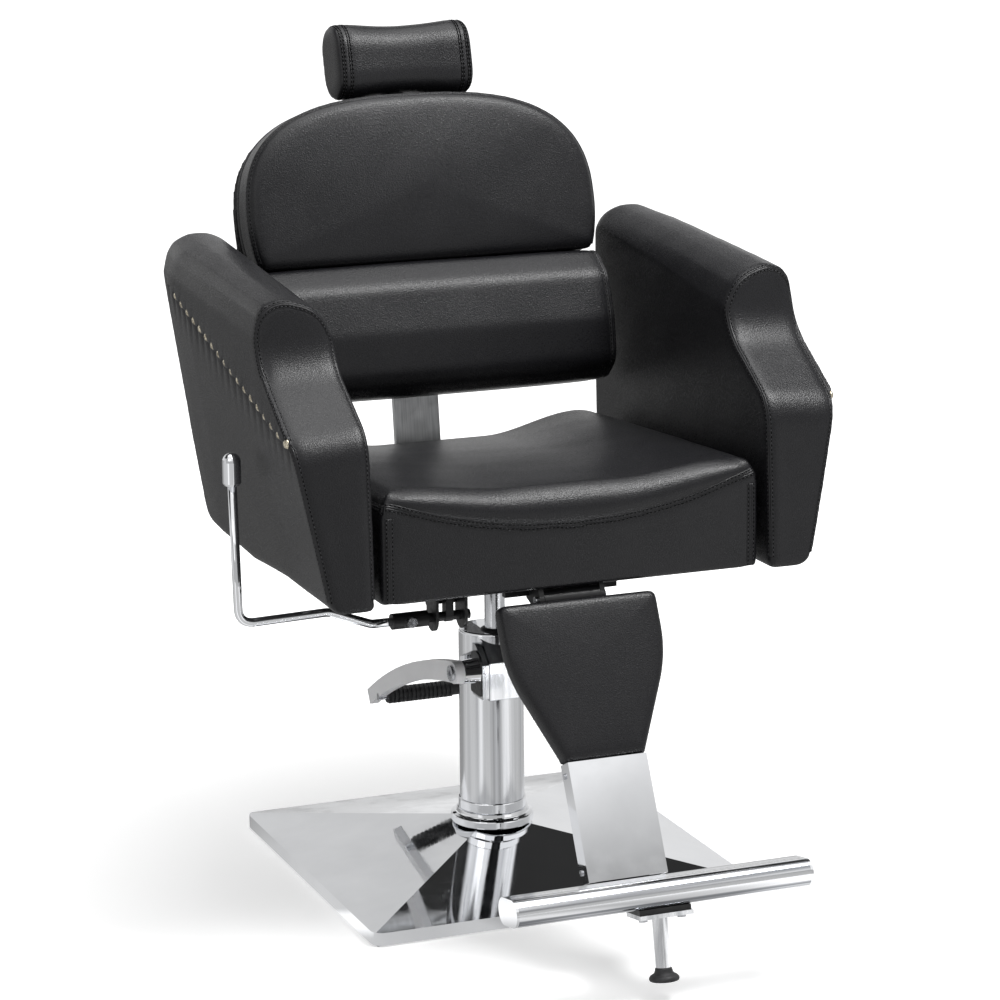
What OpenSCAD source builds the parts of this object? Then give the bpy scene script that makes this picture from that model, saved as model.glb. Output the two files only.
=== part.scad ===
// Hydraulic barber chair with a reclining back, a linked leg rest and a headrest.
// Millimetres, +Z up. The sitter faces -Y, and the release lever is on the -X side.
// The origin is on the floor, below the middle of the square base plate.

/* [Base] */
// Side of the square base plate
base_w = 500; // [460:10:540]
// Thickness of the base plate at its edge
base_t = 16; // [12:1:20]
// Rise of the plate's pyramid from its edge to the pump's neck
base_rise = 36; // [28:1:40]

/* [Pump] */
// Outer diameter of the pump tube
pump_d = 82; // [76:1:86]
// Diameter of the ram
ram_d = 26; // [22:1:28]
// Distance of the ram in front of the pump tube's axis
ram_y = 14; // [12:1:15]
// Height of the pump head's lower face
head_z = 222; // [215:1:230]

/* [Pedal] */
// Height of the pedal shaft
shaft_z = 266; // [262:1:268]
// Reach of the pedal arm behind its shaft
pedal_reach = 280; // [260:5:290]
// Drop of the pedal's cross bar below its shaft
pedal_drop = 106; // [96:2:112]
// Diameter of the ribbed pedal sleeve
sleeve_d = 22; // [18:1:26]

/* [Seat] */
// Half of the seat cushion's width
seat_hw = 240; // [225:1:242]
// Distance of the seat's front face from the origin
seat_front = 270; // [260:2:274]
// Distance of the seat's rear face from the origin
seat_back = 222; // [210:2:224]
// Height of the seat's lower edge
seat_z = 424; // [424:1:428]
// Height of the seat's upper side edges at the front
seat_top_z = 550; // [535:1:560]

/* [Arms] */
// Distance of the arm's inner face from the middle of the chair
arm_in = 252; // [250:1:262]
// Distance of the arm's outer face, at its widest, from the middle of the chair
arm_out = 345; // [335:1:350]
// Height of the arm's crest at the front
arm_top_z = 769; // [750:1:780]
// Number of nailheads on each arm
nail_count = 18; // [12:1:22]

/* [Back] */
// Tilt of the upright back from the vertical, in degrees
back_tilt = 15; // [12:1:16]
// Half of the upper cushion's greatest width
back_hw = 238; // [225:1:242]
// Height of the upper cushion, measured along the back
back_h = 216; // [206:1:220]
// Thickness of the upper cushion
back_t = 66; // [60:1:68]
// Height of the lumbar cushion, measured along the back
lumbar_h = 169; // [155:1:170]

/* [Headrest] */
// Width of the headrest pad
headrest_w = 186; // [170:2:200]
// Height of the headrest pad
headrest_h = 98; // [88:1:104]
// Depth of the headrest pad
headrest_d = 64; // [56:1:66]

/* [Leg rest] */
// Tilt of the lowered leg rest from the vertical, in degrees
leg_tilt = 26; // [24:1:28]
// Half of the calf pad's width at the top
calf_hw = 101; // [90:1:110]
// Height of the calf pad, measured along the leg rest
calf_h = 193; // [180:1:200]
// Length of the folded channel below the calf pad
channel_h = 142; // [130:1:150]
// Half of the channel's width
channel_hw = 50; // [44:1:54]
// Length of the foot bar
foot_bar_w = 368; // [330:2:400]

/* [Release lever] */
// Distance of the lever's upright part from the middle of the chair
lever_x = 351; // [348:1:358]
// Height of the release shaft
lever_z = 345; // [342:1:348]

/* [Hidden] */

$fn = 48;

// Clearances: running fits on a radius, and the gap between neighbouring bodies
fit = 0.05;
gap = 0.4;

// Base and pump stack
mat_t = 2;
plate_top = mat_t + base_t;
apex_z = plate_top + base_rise;
neck_d = 74;
ring_d = 105;
collar_d = 86;
neck_top = apex_z + 4;
ring_z = apex_z + 1;
collar_z = ring_z + 18;
plate_bolt_top = apex_z + 6;
pump_wall = 3;
cylinder_d = 40;
cylinder_bore = 34;
piston_h = 14;
head_top = 304;
cap_top = 308;
shaft_y = -45;
shaft_d = 16;
box_hw = 25;
box_y = -60;
flange_x = 34;
gasket_x = 36.5;
plunger_x = 18;
plunger_y = -26;
plunger_d = 10;

// Under the seat
hub_z = 366;
mount_z = 396;
rail_z = 402;
rail_x = 108;
rail_w = 20;
cheek_x = 36;
bolt_x = 118;
leg_pivot = [-258, 408];
back_pivot = [215, 408];
pin_d = 10;
crank_l = 40;
link_x = 50;
gas_x = -80;
gas_swing = 17.5;
gas_eye = [back_pivot[0] + crank_l * sin(gas_swing), back_pivot[1] - crank_l * cos(gas_swing)];
gas_z = gas_eye[1] - 1;
lever_y = -60;
lever_rod_d = 11;
release_d = 12;
shaft_hole = release_d + 2 * fit;
board_t = 15;

// Back, in its own tilted frame: x across, y through its thickness, z up along it
back_foot = [190, 748];
board_y = back_t + gap;
board_back = board_y + 14;
bar_t = 8;
bar_hw = 31;

// Leg rest, in its own tilted frame
calf_y = -285;
calf_z = 415;
calf_t = 24;
foot_tilt = 10.5;
foot_y = -514;
foot_z = 124;
foot_bar_d = 32;
foot_bar_depth = 57;
leg_len = 65;
headrest_mid = 268;

// ---- outlines and lofts ----

function unit(v) = v / norm(v);

// One rounded corner p between its neighbours a and b, as n short steps
function corner(a, p, b, r, n) =
    let (u = unit(a - p), v = unit(b - p), t = r / tan(acos(u * v) / 2))
    [for (k = [0 : n]) let (s = k / n)
        (1 - s) * (1 - s) * (p + u * t) + 2 * s * (1 - s) * p + s * s * (p + v * t)];

// Closed outline of corners [x, y, radius]; a radius of 0 keeps the point
function rounded(c, n = 4) =
    let (m = len(c), q = [for (k = c) [k[0], k[1]]])
    [for (i = [0 : m - 1])
        each (c[i][2] == 0 ? [q[i]]
            : corner(q[(i + m - 1) % m], q[i], q[(i + 1) % m], c[i][2], n))];

// Open path of corners [y, z, radius]
function bent(c, n = 6) =
    let (m = len(c), q = [for (k = c) [k[0], k[1]]])
    [for (i = [0 : m - 1])
        each (c[i][2] == 0 ? [q[i]] : corner(q[i - 1], q[i], q[i + 1], c[i][2], n))];

// Outline of a strip of thickness t along an open path
function strip(path, t) =
    let (m = len(path),
        side = [for (i = [0 : m - 1])
            let (d = unit(path[min(i + 1, m - 1)] - path[max(i - 1, 0)])) [-d[1], d[0]] * t / 2])
    concat([for (i = [0 : m - 1]) path[i] + side[i]],
        [for (i = [m - 1 : -1 : 0]) path[i] - side[i]]);

// Closed solid through rings of equal length, its two ends closed to a tip
module loft(rings, first, last) {
    n = len(rings[0]);
    m = len(rings);
    points = [first, each [for (r = rings) each r], last];
    polyhedron(points, [
        for (i = [0 : n - 1]) [0, 1 + i, 1 + (i + 1) % n],
        for (j = [0 : m - 2]) for (i = [0 : n - 1])
            let (a = 1 + j * n + i, b = 1 + j * n + (i + 1) % n) each [[a, b + n, b], [a, a + n, b + n]],
        for (i = [0 : n - 1])
            [1 + m * n, 1 + (m - 1) * n + (i + 1) % n, 1 + (m - 1) * n + i]]);
}

// Loft whose rings run the other way round their axis
module loft_flipped(rings, first, last) {
    loft([for (r = rings) [for (k = [len(r) - 1 : -1 : 0]) r[k]]], first, last);
}

// Extrudes an outline given in Y and Z from x0 to x1
module along_x(x0, x1) {
    translate([x0, 0, 0]) rotate([90, 0, 90]) linear_extrude(x1 - x0) children();
}

// Round bar along X at a point [y, z]
module bar_x(x0, x1, at, d) {
    translate([x0, at[0], at[1]]) rotate([0, 90, 0]) cylinder(h = x1 - x0, d = d);
}

// Flat link with two round ends of diameter d, about a and b in Y and Z
module link_2d(a, b, d) {
    n = 10;
    turn = atan2(b[1] - a[1], b[0] - a[0]);
    polygon([for (e = [[a, 90], [b, -90]]) for (k = [0 : n])
        let (t = turn + e[1] + 180 * k / n) e[0] + [cos(t), sin(t)] * d / 2]);
}

module in_back() {
    translate([0, back_foot[0], back_foot[1]]) rotate([-back_tilt, 0, 0]) children();
}

module in_leg() {
    translate([0, calf_y, calf_z]) rotate([-leg_tilt, 0, 0]) children();
}

module in_foot() {
    translate([0, foot_y, foot_z]) rotate([-foot_tilt, 0, 0]) children();
}

module mirrored_pair() {
    children();
    mirror([1, 0, 0]) children();
}

// ---- base and pump ----

module base_mat() {
    color("#1c1c1c") linear_extrude(mat_t) square(base_w - 12, center = true);
}

module base_plate() {
    slope = atan(base_rise / (base_w / 2 - neck_d / 2));
    bolt_r = 24;
    color("#d8dade") difference() {
        intersection() {
            translate([0, 0, mat_t]) linear_extrude(base_t + base_rise)
                polygon(rounded([for (c = [[-1, -1], [1, -1], [1, 1], [-1, 1]])
                    [c[0] * base_w / 2, c[1] * base_w / 2, 16]], 6));
            base_slopes(slope);
        }
        for (a = [45 : 90 : 315]) rotate(a) translate([bolt_r, 0, 0]) {
            cylinder(h = 80, d = 10.6);
            cylinder(h = mat_t + 9, d = 18);
        }
    }
}

// The four sloping half spaces that meet above the plate's middle
module base_slopes(slope) {
    intersection_for(a = [0 : 90 : 270])
        rotate(a) translate([base_w / 2, 0, plate_top]) rotate([0, slope, 0])
            translate([-base_w * 1.1, -base_w, -160]) cube([base_w * 1.15, base_w * 2, 160]);
}

module base_bolts() {
    color("#8f9296") for (a = [45 : 90 : 315]) rotate(a) translate([24, 0, 0]) {
        translate([0, 0, mat_t + 2]) cylinder(h = 7, d = 16, $fn = 6);
        translate([0, 0, mat_t + 9]) cylinder(h = plate_bolt_top - mat_t - 9, d = 10);
    }
}

module base_neck() {
    color("#d8dade") difference() {
        union() {
            translate([0, 0, apex_z]) cylinder(h = neck_top - apex_z, d = neck_d);
            translate([0, 0, neck_top]) cylinder(h = 4, d = pump_d - 2 * pump_wall - 2 * fit);
        }
        for (a = [45 : 90 : 315]) rotate(a) translate([24, 0, apex_z - 1])
            cylinder(h = plate_bolt_top - apex_z + 1.5, d = 10);
    }
}

module lock_ring() {
    color("#d8dade") difference() {
        translate([0, 0, ring_z]) rotate_extrude($fn = 96) polygon(rounded(
            [[0, 0, 0], [ring_d / 2, 0, 2], [ring_d / 2, 10.5, 2], [46, 12, 3], [45, 18, 1], [0, 18, 0]]));
        translate([0, 0, ring_z - 1]) cylinder(h = 22, d = neck_d + 2 * fit);
        translate([0, 0, neck_top]) cylinder(h = 20, d = pump_d + 2 * fit);
    }
}

module collar_ring() {
    color("#d8dade") translate([0, 0, collar_z]) difference() {
        rotate_extrude($fn = 96) polygon(rounded(
            [[0, 0, 0], [collar_d / 2, 0, 1], [collar_d / 2, 13, 1.5], [0, 13, 0]]));
        translate([0, 0, -1]) cylinder(h = 17, d = pump_d + 2 * fit);
    }
}

module pump_tube() {
    color("#d8dade") difference() {
        translate([0, 0, neck_top]) cylinder(h = head_z - neck_top, d = pump_d);
        translate([0, 0, neck_top - 1]) cylinder(h = head_z, d = pump_d - 2 * pump_wall);
    }
}

module pump_cylinder() {
    color("#9a9da1") translate([0, -ram_y, neck_top + 4]) difference() {
        cylinder(h = head_z - neck_top - 4, d = cylinder_d);
        translate([0, 0, 2]) cylinder(h = head_z, d = cylinder_bore);
    }
}

// Chromed head of the pump: a nose for the pedal shaft, faired into the round head, with a
// bearing flange on its -X side
module pump_head() {
    fair = 12;
    fair_y = -sqrt(pow(pump_d / 2 + fair, 2) - pow(box_hw + fair, 2));
    color("#d8dade") difference() {
        union() {
            translate([0, 0, head_z]) cylinder(h = head_top - head_z, d = pump_d);
            intersection() {
                union() {
                    translate([-box_hw, box_y, 228]) cube([2 * box_hw, 60, 80]);
                    difference() {
                        translate([-28.6, fair_y, 228]) cube([57.2, 12, 80]);
                        mirrored_pair() translate([box_hw + fair, fair_y, 227]) cylinder(h = 90, r = fair);
                    }
                }
                along_x(-30, 30) polygon(rounded([[0, head_top, 0], [-30, head_top, 14],
                    [box_y, 277, 2], [box_y, 228, 3], [0, 228, 0]]));
            }
            along_x(-flange_x, -box_hw + 1) polygon(rounded([[0, head_top - 8, 0],
                [-34, head_top - 8, 14], [-58, 275, 3], [-58, 230, 3], [0, 230, 0]]));
        }
        translate([0, -ram_y, head_z - 1]) cylinder(h = 90, d = ram_d + 2 * fit);
        bar_x(-60, 60, [shaft_y, shaft_z], shaft_d + 2 * fit);
        // Slot in which the rocker finger swings, and the plunger's bore below it
        translate([plunger_x - 5, -57, 250]) cube([10, 36.5, 26]);
        translate([plunger_x, plunger_y, 228]) cylinder(h = 40, d = plunger_d + 2 * fit);
    }
}

module pump_cap() {
    color("#d8dade") difference() {
        translate([0, 0, head_top]) rotate_extrude($fn = 96) polygon(rounded(
            [[0, 0, 0], [pump_d / 2 - 1, 0, 0], [pump_d / 2 - 1, 4, 2], [0, 4, 0]]));
        translate([0, -ram_y, head_top - 1]) cylinder(h = 20, d = ram_d + 2 * fit);
        translate([0, -ram_y, cap_top - 3]) cylinder(h = 20, d = ram_d + 10);
    }
}

module rod_seal() {
    color("#202020") translate([0, -ram_y, cap_top - 3]) difference() {
        rotate_extrude() polygon([[0, 0], [ram_d / 2 + 5, 0], [ram_d / 2 + 5, 4],
            [ram_d / 2 + 2, 6], [0, 6]]);
        translate([0, 0, -1]) cylinder(h = 20, d = ram_d + 2 * fit);
    }
}

module shaft_gasket() {
    color("#202020") difference() {
        along_x(-gasket_x, -flange_x) polygon(rounded([[-57, 234, 4], [-57, 284, 12],
            [-38, 291, 14], [-23, 284, 8], [-23, 234, 4]]));
        bar_x(-gasket_x - 1, -flange_x + 1, [shaft_y, shaft_z], shaft_d + 2 * fit);
    }
}

// ---- ram ----

module piston_rod() {
    bottom = neck_top + 17;
    color("#d8dade") translate([0, -ram_y, 0]) {
        translate([0, 0, bottom]) cylinder(h = piston_h, d = cylinder_bore - 2 * fit);
        translate([0, 0, bottom + piston_h]) cylinder(h = mount_z - 6 - bottom - piston_h, d = ram_d);
    }
}

// ---- pedal ----

module pedal_shaft() {
    color("#9a9da1") difference() {
        union() {
            bar_x(-box_hw - 44, box_hw + 8, [shaft_y, shaft_z], shaft_d);
            // Rocker finger that presses the plunger
            along_x(plunger_x - 4, plunger_x + 4) link_2d([shaft_y, shaft_z], [shaft_y + 17, shaft_z], 9);
        }
        bar_x(-box_hw - 45, -box_hw - 28, [shaft_y, shaft_z], 6);
        bar_x(box_hw - 5, box_hw + 9, [shaft_y, shaft_z], 6);
    }
}

// Cast lever: a tapered hub on the shaft, and a blade that bows down to the cross bar
module pedal_arm() {
    hub_0 = -gasket_x - gap;
    hub_1 = -box_hw - 44;
    steps = 14;
    from = [shaft_y, shaft_z + 1];
    bow = [shaft_y + 175, shaft_z - 30];
    end = [shaft_y + pedal_reach + 37, shaft_z - pedal_drop - 10];
    line = [for (k = [0 : steps]) let (s = k / steps)
        (1 - s) * (1 - s) * from + 2 * s * (1 - s) * bow + s * s * end];
    side = [for (k = [0 : steps])
        let (d = unit(line[min(k + 1, steps)] - line[max(k - 1, 0)])) [-d[1], d[0]] * (13.5 - 3.5 * k / steps)];
    color("#d8dade") difference() {
        union() {
            translate([hub_0, shaft_y, shaft_z]) rotate([0, -90, 0])
                cylinder(h = hub_0 - hub_1, d1 = 33, d2 = 27);
            along_x(hub_1, hub_1 + 12) polygon(concat([for (k = [0 : steps]) line[k] + side[k]],
                [for (k = [steps : -1 : 0]) line[k] - side[k]]));
        }
        bar_x(hub_1 - 1, hub_0 + 1, [shaft_y, shaft_z], shaft_d);
        bar_x(hub_1 - 1, hub_0 + 1, [shaft_y + pedal_reach, shaft_z - pedal_drop], 10);
    }
}

// Socket screws in the shaft's two ends and in the far end of the cross bar
module pedal_bolts() {
    bar_at = [shaft_y + pedal_reach, shaft_z - pedal_drop];
    color("#c8cacd") {
        difference() {
            union() {
                bar_x(-box_hw - 48, -box_hw - 44, [shaft_y, shaft_z], 20);
                bar_x(-box_hw - 44, -box_hw - 30, [shaft_y, shaft_z], 6);
            }
            translate([-box_hw - 49, shaft_y, shaft_z]) rotate([0, 90, 0]) cylinder(h = 3.5, d = 9, $fn = 6);
        }
        bar_x(box_hw + 8, box_hw + 11, [shaft_y, shaft_z], 20);
        bar_x(box_hw - 3, box_hw + 8, [shaft_y, shaft_z], 6);
        bar_x(46, 52, bar_at, 14);
    }
}

module pedal_bar() {
    bar_at = [shaft_y + pedal_reach, shaft_z - pedal_drop];
    color("#b8babd") bar_x(-box_hw - 44, 46, bar_at, 10);
}

module pedal_sleeve() {
    bar_at = [shaft_y + pedal_reach, shaft_z - pedal_drop];
    rib = 6;
    count = 15;
    x0 = -box_hw - 44 + 12.2;
    color("#1c1c1c") difference() {
        union() {
            bar_x(x0, 45, bar_at, sleeve_d - 3);
            for (k = [0 : count - 1]) bar_x(x0 + 3 + k * rib, x0 + 6.5 + k * rib, bar_at, sleeve_d);
        }
        bar_x(x0 - 1, 50, bar_at, 10);
    }
}

module pump_plunger() {
    color("#9a9da1") translate([plunger_x, plunger_y, shaft_z - 4.5 - gap - 20])
        cylinder(h = 20, d = plunger_d);
}

// ---- seat structure ----

module swivel_hub() {
    color("#2a2a2c") difference() {
        union() {
            translate([0, -ram_y, hub_z]) cylinder(h = mount_z - hub_z, d = 52);
            translate([-rail_x - rail_w, -ram_y - 90, mount_z])
                cube([2 * (rail_x + rail_w), 180, rail_z - mount_z]);
        }
        translate([0, -ram_y, hub_z - 1])
            cylinder(h = mount_z - 6 - hub_z + 1 + gap, d = ram_d + 2 * fit);
        frame_bolt_places() translate([0, 0, mount_z - 1]) cylinder(h = 20, d = 8.4);
    }
}

module frame_bolt_places() {
    for (x = [-bolt_x, bolt_x], y = [-80, 80]) translate([x, y - ram_y, 0]) children();
}

module seat_frame() {
    h = seat_z - rail_z;
    color("#2a2a2c") difference() {
        union() {
            mirrored_pair() translate([rail_x, -175, rail_z]) cube([rail_w, 395, h]);
            translate([-rail_x, -175, rail_z + 6]) cube([2 * rail_x, 16, h - 6]);
            translate([-rail_x, 150, rail_z]) cube([2 * rail_x, 20, h]);
            // Front plate of the leg-rest hinge, on two flats that run back to the cross bar
            translate([-72, -232, rail_z + 6]) cube([144, 10, h - 6]);
            mirrored_pair() translate([cheek_x, -225, rail_z + 6]) cube([6, 52, h - 6]);
            mirrored_pair() along_x(cheek_x, cheek_x + 6) {
                translate(leg_pivot) circle(d = 21);
                polygon([[-262, seat_z], [-267, 413], [-262, 398.5], [-246, 397], [-224, 404],
                    [-224, seat_z]]);
            }
            // Lugs of the recline pivot
            mirrored_pair() along_x(rail_x, rail_x + rail_w)
                translate([back_pivot[0], back_pivot[1]]) circle(d = 30);
        }
        bar_x(-150, 150, leg_pivot, pin_d);
        bar_x(-150, 150, back_pivot, pin_d);
        frame_bolt_places() translate([0, 0, rail_z - 1]) cylinder(h = 30, d = 8.4);
    }
}

module frame_bolts() {
    color("#8f9296") frame_bolt_places() {
        translate([0, 0, mount_z - 5.5]) cylinder(h = 5.5, d = 13, $fn = 6);
        translate([0, 0, mount_z]) cylinder(h = seat_z + board_t - mount_z - 4, d = 8);
    }
}

module seat_board() {
    color("#c9a36b") difference() {
        translate([0, 0, seat_z]) linear_extrude(board_t) polygon(seat_outline(14.4));
        frame_bolt_places() translate([0, 0, seat_z - 1]) cylinder(h = 12, d = 8.4);
    }
}

// Outline of the seat, drawn in by i all round
function seat_outline(i) =
    let (w = seat_hw - i, f = -seat_front + i, b = seat_back - i, r = max(26 - i, 4), q = (b - f) / 4)
    rounded([[-w, f, r], [-w / 2, f, 0], [0, f, 0], [w / 2, f, 0], [w, f, r], [w, f + q, 0],
        [w, f + 2 * q, 0], [w, f + 3 * q, 0], [w, b, r], [w / 2, b, 0], [0, b, 0], [-w / 2, b, 0],
        [-w, b, r], [-w, f + 3 * q, 0], [-w, f + 2 * q, 0], [-w, f + q, 0]]);

// Height of the scooped seat top: side bolsters, and a hollow that deepens to the rear
function seat_top(x, y) =
    let (t = (y + seat_front) / (seat_front + seat_back), s = min(abs(x) / seat_hw, 1))
    seat_top_z - 23 * t * t - (7 + 13 * t) * (1 - pow(s, 2.4));

module seat_cushion() {
    // Each step: how far the outline is drawn in, and how far it lies below the top
    crown = [[7, 16], [13, 7], [24, 1], [48, 0], [85, 0], [125, 0], [165, 0], [200, 0]];
    rings = concat(
        [for (s = [[14.4, board_t + 0.3], [14.4, 0], [5, 0], [0, 7], [1, 34], [3, 62]])
            [for (p = seat_outline(s[0])) [p[0], p[1], seat_z + s[1]]]],
        [for (s = crown) [for (p = seat_outline(s[0])) [p[0], p[1], seat_top(p[0], p[1]) - s[1]]]]);
    mid = (seat_back - seat_front) / 2;
    color("#2b2b2d") loft(rings, [0, mid, seat_z + board_t + 0.3], [0, mid, seat_top(0, mid)]);
}

module legrest_pin() {
    color("#b8babd") bar_x(-cheek_x - 9, cheek_x + 9, leg_pivot, pin_d);
}

module recline_pin() {
    color("#b8babd") bar_x(-rail_x - rail_w - 4, rail_x + rail_w + 4, back_pivot, pin_d);
}

module lever_ears() {
    color("#2a2a2c") difference() {
        union() {
            for (x = [-102, -64]) along_x(x, x + 4) {
                translate([lever_y - 17, lever_z]) square([34, mount_z - 4 - lever_z]);
                translate([lever_y, lever_z]) circle(d = 34);
            }
            // Foot plate of the ears, welded below the mounting plate
            translate([-rail_x, lever_y - 17, mount_z - 4]) cube([rail_x - 60, 34, 4]);
            // Tab that holds the gas spring's rod
            along_x(-102, -60) translate([lever_y + 15, gas_z - 12]) square([5, 33]);
        }
        bar_x(-110, -50, [lever_y, lever_z], shaft_hole);
        translate([gas_x, lever_y, gas_z]) rotate([-90, 0, 0]) cylinder(h = 30, d = 8);
    }
}

module arm_brackets() {
    start = rail_x + rail_w;
    color("#2a2a2c") mirrored_pair() for (y = [-140, 70]) translate([0, y, 0]) {
        translate([start, 0, seat_z - 5]) cube([arm_in - start, 32, 5]);
        translate([arm_in - 5, 0, seat_z - 5]) cube([5, 32, 80]);
    }
}

// ---- arms ----

// Height of the nail line at y along the arm
function nail_z(y) = 620 + 0.243 * (y + 260);

// Outer face of the arm: upright above the nail line, drawn in below it
function arm_outer(y, z) =
    let (low = 306 - 9 * (y + 284) / 529, top = nail_z(y))
    z > top ? arm_out : low + (arm_out - low) * max(z - 422, 0) / (top - 422);

// Side outline of the arm in Y and Z, at t from its inner face (0) to its outer one (1),
// with its edges drawn in and its crest lowered by front and rear
function arm_outline(t, edge, front, rear) = rounded([
    [-284 + edge, 422 + edge, 8],
    [-279 + edge, 520, 0],
    [-271 + edge, 624 - 8 * t, 14],
    [-158 + edge, 694 - 4 * t, 24],
    [-152 + 10 * t + edge, arm_top_z - front, 10],
    [-20, arm_top_z + 10.5 - (front * 2 + rear) / 3, 0],
    [115, arm_top_z + 21 - (front + rear * 2) / 3, 0],
    [247 - edge, arm_top_z + 31 - rear, 14],
    [248 - edge, 600, 0],
    [247 - edge, 416 + edge, 22],
    [150, 415 + edge, 0],
    [45, 412 + edge, 0],
    [-90, 421 + edge, 0]]);

// Ring of the arm at t, shrunk about its middle
function arm_ring(t, edge, front, rear, shrink = 1) =
    let (mid = [-10, 590])
    [for (q = arm_outline(t, edge, front, rear))
        let (p = mid + (q - mid) * shrink)
        [arm_in + t * (arm_outer(p[0], p[1]) - arm_in), p[0], p[1]]];

module arm_pad_solid() {
    // Across the arm: place, fall of the crest at the front arch, and at the rear
    crest = [[0, 50, 14], [0.03, 43, 8], [0.08, 32, 3], [0.15, 20, 0], [0.25, 12, 1], [0.37, 6, 2],
        [0.5, 2, 3], [0.63, 0, 4], [0.76, 2, 7], [0.87, 8, 13], [0.95, 19, 25], [1, 45, 44]];
    function edge(t) = 5 * pow(abs(2 * t - 1), 6);
    rings = concat([arm_ring(0, 5, 50, 14, 0.4), arm_ring(0, 5, 50, 14, 0.8)],
        [for (c = crest) arm_ring(c[0], edge(c[0]), c[1], c[2])],
        [arm_ring(1, 5, 45, 44, 0.8), arm_ring(1, 5, 45, 44, 0.4)]);
    loft_flipped(rings, [arm_in, -10, 590], [arm_outer(-10, 590), -10, 590]);
}

// Plywood core that stands in the arm's padding, open below
module arm_board_solid(x0, x1) {
    along_x(x0, x1) polygon([[-240, 405], [200, 405], [200, 640], [-150, 640], [-240, 580]]);
}

module arm_left_board() {
    color("#c9a36b") intersection() {
        arm_board_solid(arm_in + 26, arm_in + 40);
        along_x(arm_in, arm_out) polygon([[-300, 428], [400, 428], [400, 900], [-300, 900]]);
    }
}

module arm_left_pad() {
    color("#2b2b2d") difference() {
        arm_pad_solid();
        arm_board_solid(arm_in + 25.7, arm_in + 40.3);
    }
}

module arm_right_board() {
    mirror([1, 0, 0]) arm_left_board();
}

module arm_right_pad() {
    mirror([1, 0, 0]) arm_left_pad();
}

// Antique nails along the lower edge of the rolled outer cover
module nailheads() {
    first = [-256, nail_z(-256)];
    last = [176, nail_z(176)];
    color("#7d6848") mirrored_pair() for (k = [0 : nail_count - 1]) {
        at = first + (last - first) * k / (nail_count - 1);
        translate([arm_out, at[0], at[1]]) rotate([0, 90, 0]) {
            cylinder(h = 1, d = 10);
            translate([0, 0, 1]) cylinder(h = 2, d1 = 10, d2 = 5);
            translate([0, 0, -9]) cylinder(h = 9, d = 1.8);
        }
    }
}

// ---- gas spring ----

module gas_rod() {
    color("#b8babd") translate([gas_x, lever_y + 15, gas_z]) rotate([-90, 0, 0]) {
        cylinder(h = 5, d = 8);
        translate([0, 0, 5]) cylinder(h = 130, d = 10);
        translate([0, 0, -3]) cylinder(h = 3, d = 12);
    }
}

module gas_cylinder() {
    front = 10;
    back = gas_eye[0] - 22;
    color("#2a2a2c") difference() {
        union() {
            translate([gas_x, front, gas_z]) rotate([-90, 0, 0]) cylinder(h = back - front, d = 22);
            along_x(gas_x - 5, gas_x + 5) {
                translate([back - 2, gas_z - 7]) square([gas_eye[0] - back + 2, 14]);
                translate([gas_eye[0], gas_z]) circle(d = 20);
            }
        }
        translate([gas_x, front - 1, gas_z]) rotate([-90, 0, 0]) cylinder(h = 160, d = 10 + 2 * fit);
        // Slotted eye: room for the crank pin's rise and fall
        along_x(gas_x - 6, gas_x + 6) {
            translate([gas_eye[0], gas_eye[1] + 0.6]) circle(d = 9);
            translate([gas_eye[0], gas_eye[1] - 2.9]) circle(d = 9);
            translate([gas_eye[0] - 4.5, gas_eye[1] - 2.9]) square([9, 3.5]);
        }
    }
}

// ---- back ----

// Half width of the back at height z along it: upright sides below a full dome
function back_half(z) =
    let (rise = 60, top = back_h - rise)
    z <= rise ? back_hw - 9 * pow((rise - z) / rise, 1.5)
        : back_hw * pow(max(1 - pow((z - rise) / top, 2.75), 0), 1 / 2.75);

// Closed outline of the back from z = low up, drawn in by i
function back_outline(i, low) =
    let (steps = 14, top = back_h,
        right = [for (k = [0 : steps]) let (a = 90 * k / steps, z = 60 + (top - 60) * pow(sin(a), 0.9))
            [back_half(z) * (1 - i / back_hw), 60 + (z - 60) * (1 - i / (top - 60))]],
        w = back_half(max(low, 0)) - i)
    concat([[0, low + i], [w / 2, low + i], [w - 8, low + i], [w - 2, low + i + 2.5], [w, low + i + 9]],
        right, [for (k = [steps - 1 : -1 : 0]) [-right[k][0], right[k][1]]],
        [[-w, low + i + 9], [-w + 2, low + i + 2.5], [-w + 8, low + i], [-w / 2, low + i]]);

module upper_cushion() {
    // Each step: how far the outline is drawn in, and its place through the thickness
    steps = [[5, back_t], [1, back_t - 7], [0, back_t - 16], [1.5, back_t / 2], [0, 16], [2, 8],
        [8, 3], [20, 0], [45, -3], [90, -5]];
    rings = [for (s = steps) [for (p = back_outline(s[0], -0.5)) [p[0], s[1], p[1]]]];
    color("#2b2b2d") in_back() loft(rings, [0, back_t, 95], [0, -6, 95]);
}

// Section of the lumbar roll, in the back's frame, drawn in by i
function lumbar_section(i) =
    let (h = lumbar_h, mid = [16, -h / 2])
    [for (q = rounded([[back_t, -2, 8], [8, -2, 14], [-20, -34, 34], [-27, -95, 50],
        [-20, -h + 16, 34], [14, -h - 2, 22], [back_t, -h - 2, 10]], 5))
        let (p = mid + (q - mid) * (1 - i / 85)) p];

module lumbar_cushion() {
    w = 233;
    steps = [[-1, 14], [-0.985, 5], [-0.955, 0.5], [-0.5, -1], [0, -1.5], [0.5, -1], [0.955, 0.5],
        [0.985, 5], [1, 14]];
    rings = [for (s = steps) [for (p = lumbar_section(s[1])) [s[0] * w, min(p[0], back_t), p[1]]]];
    color("#2b2b2d") in_back() loft(rings, [-w, 16, -lumbar_h / 2], [w, 16, -lumbar_h / 2]);
}

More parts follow.
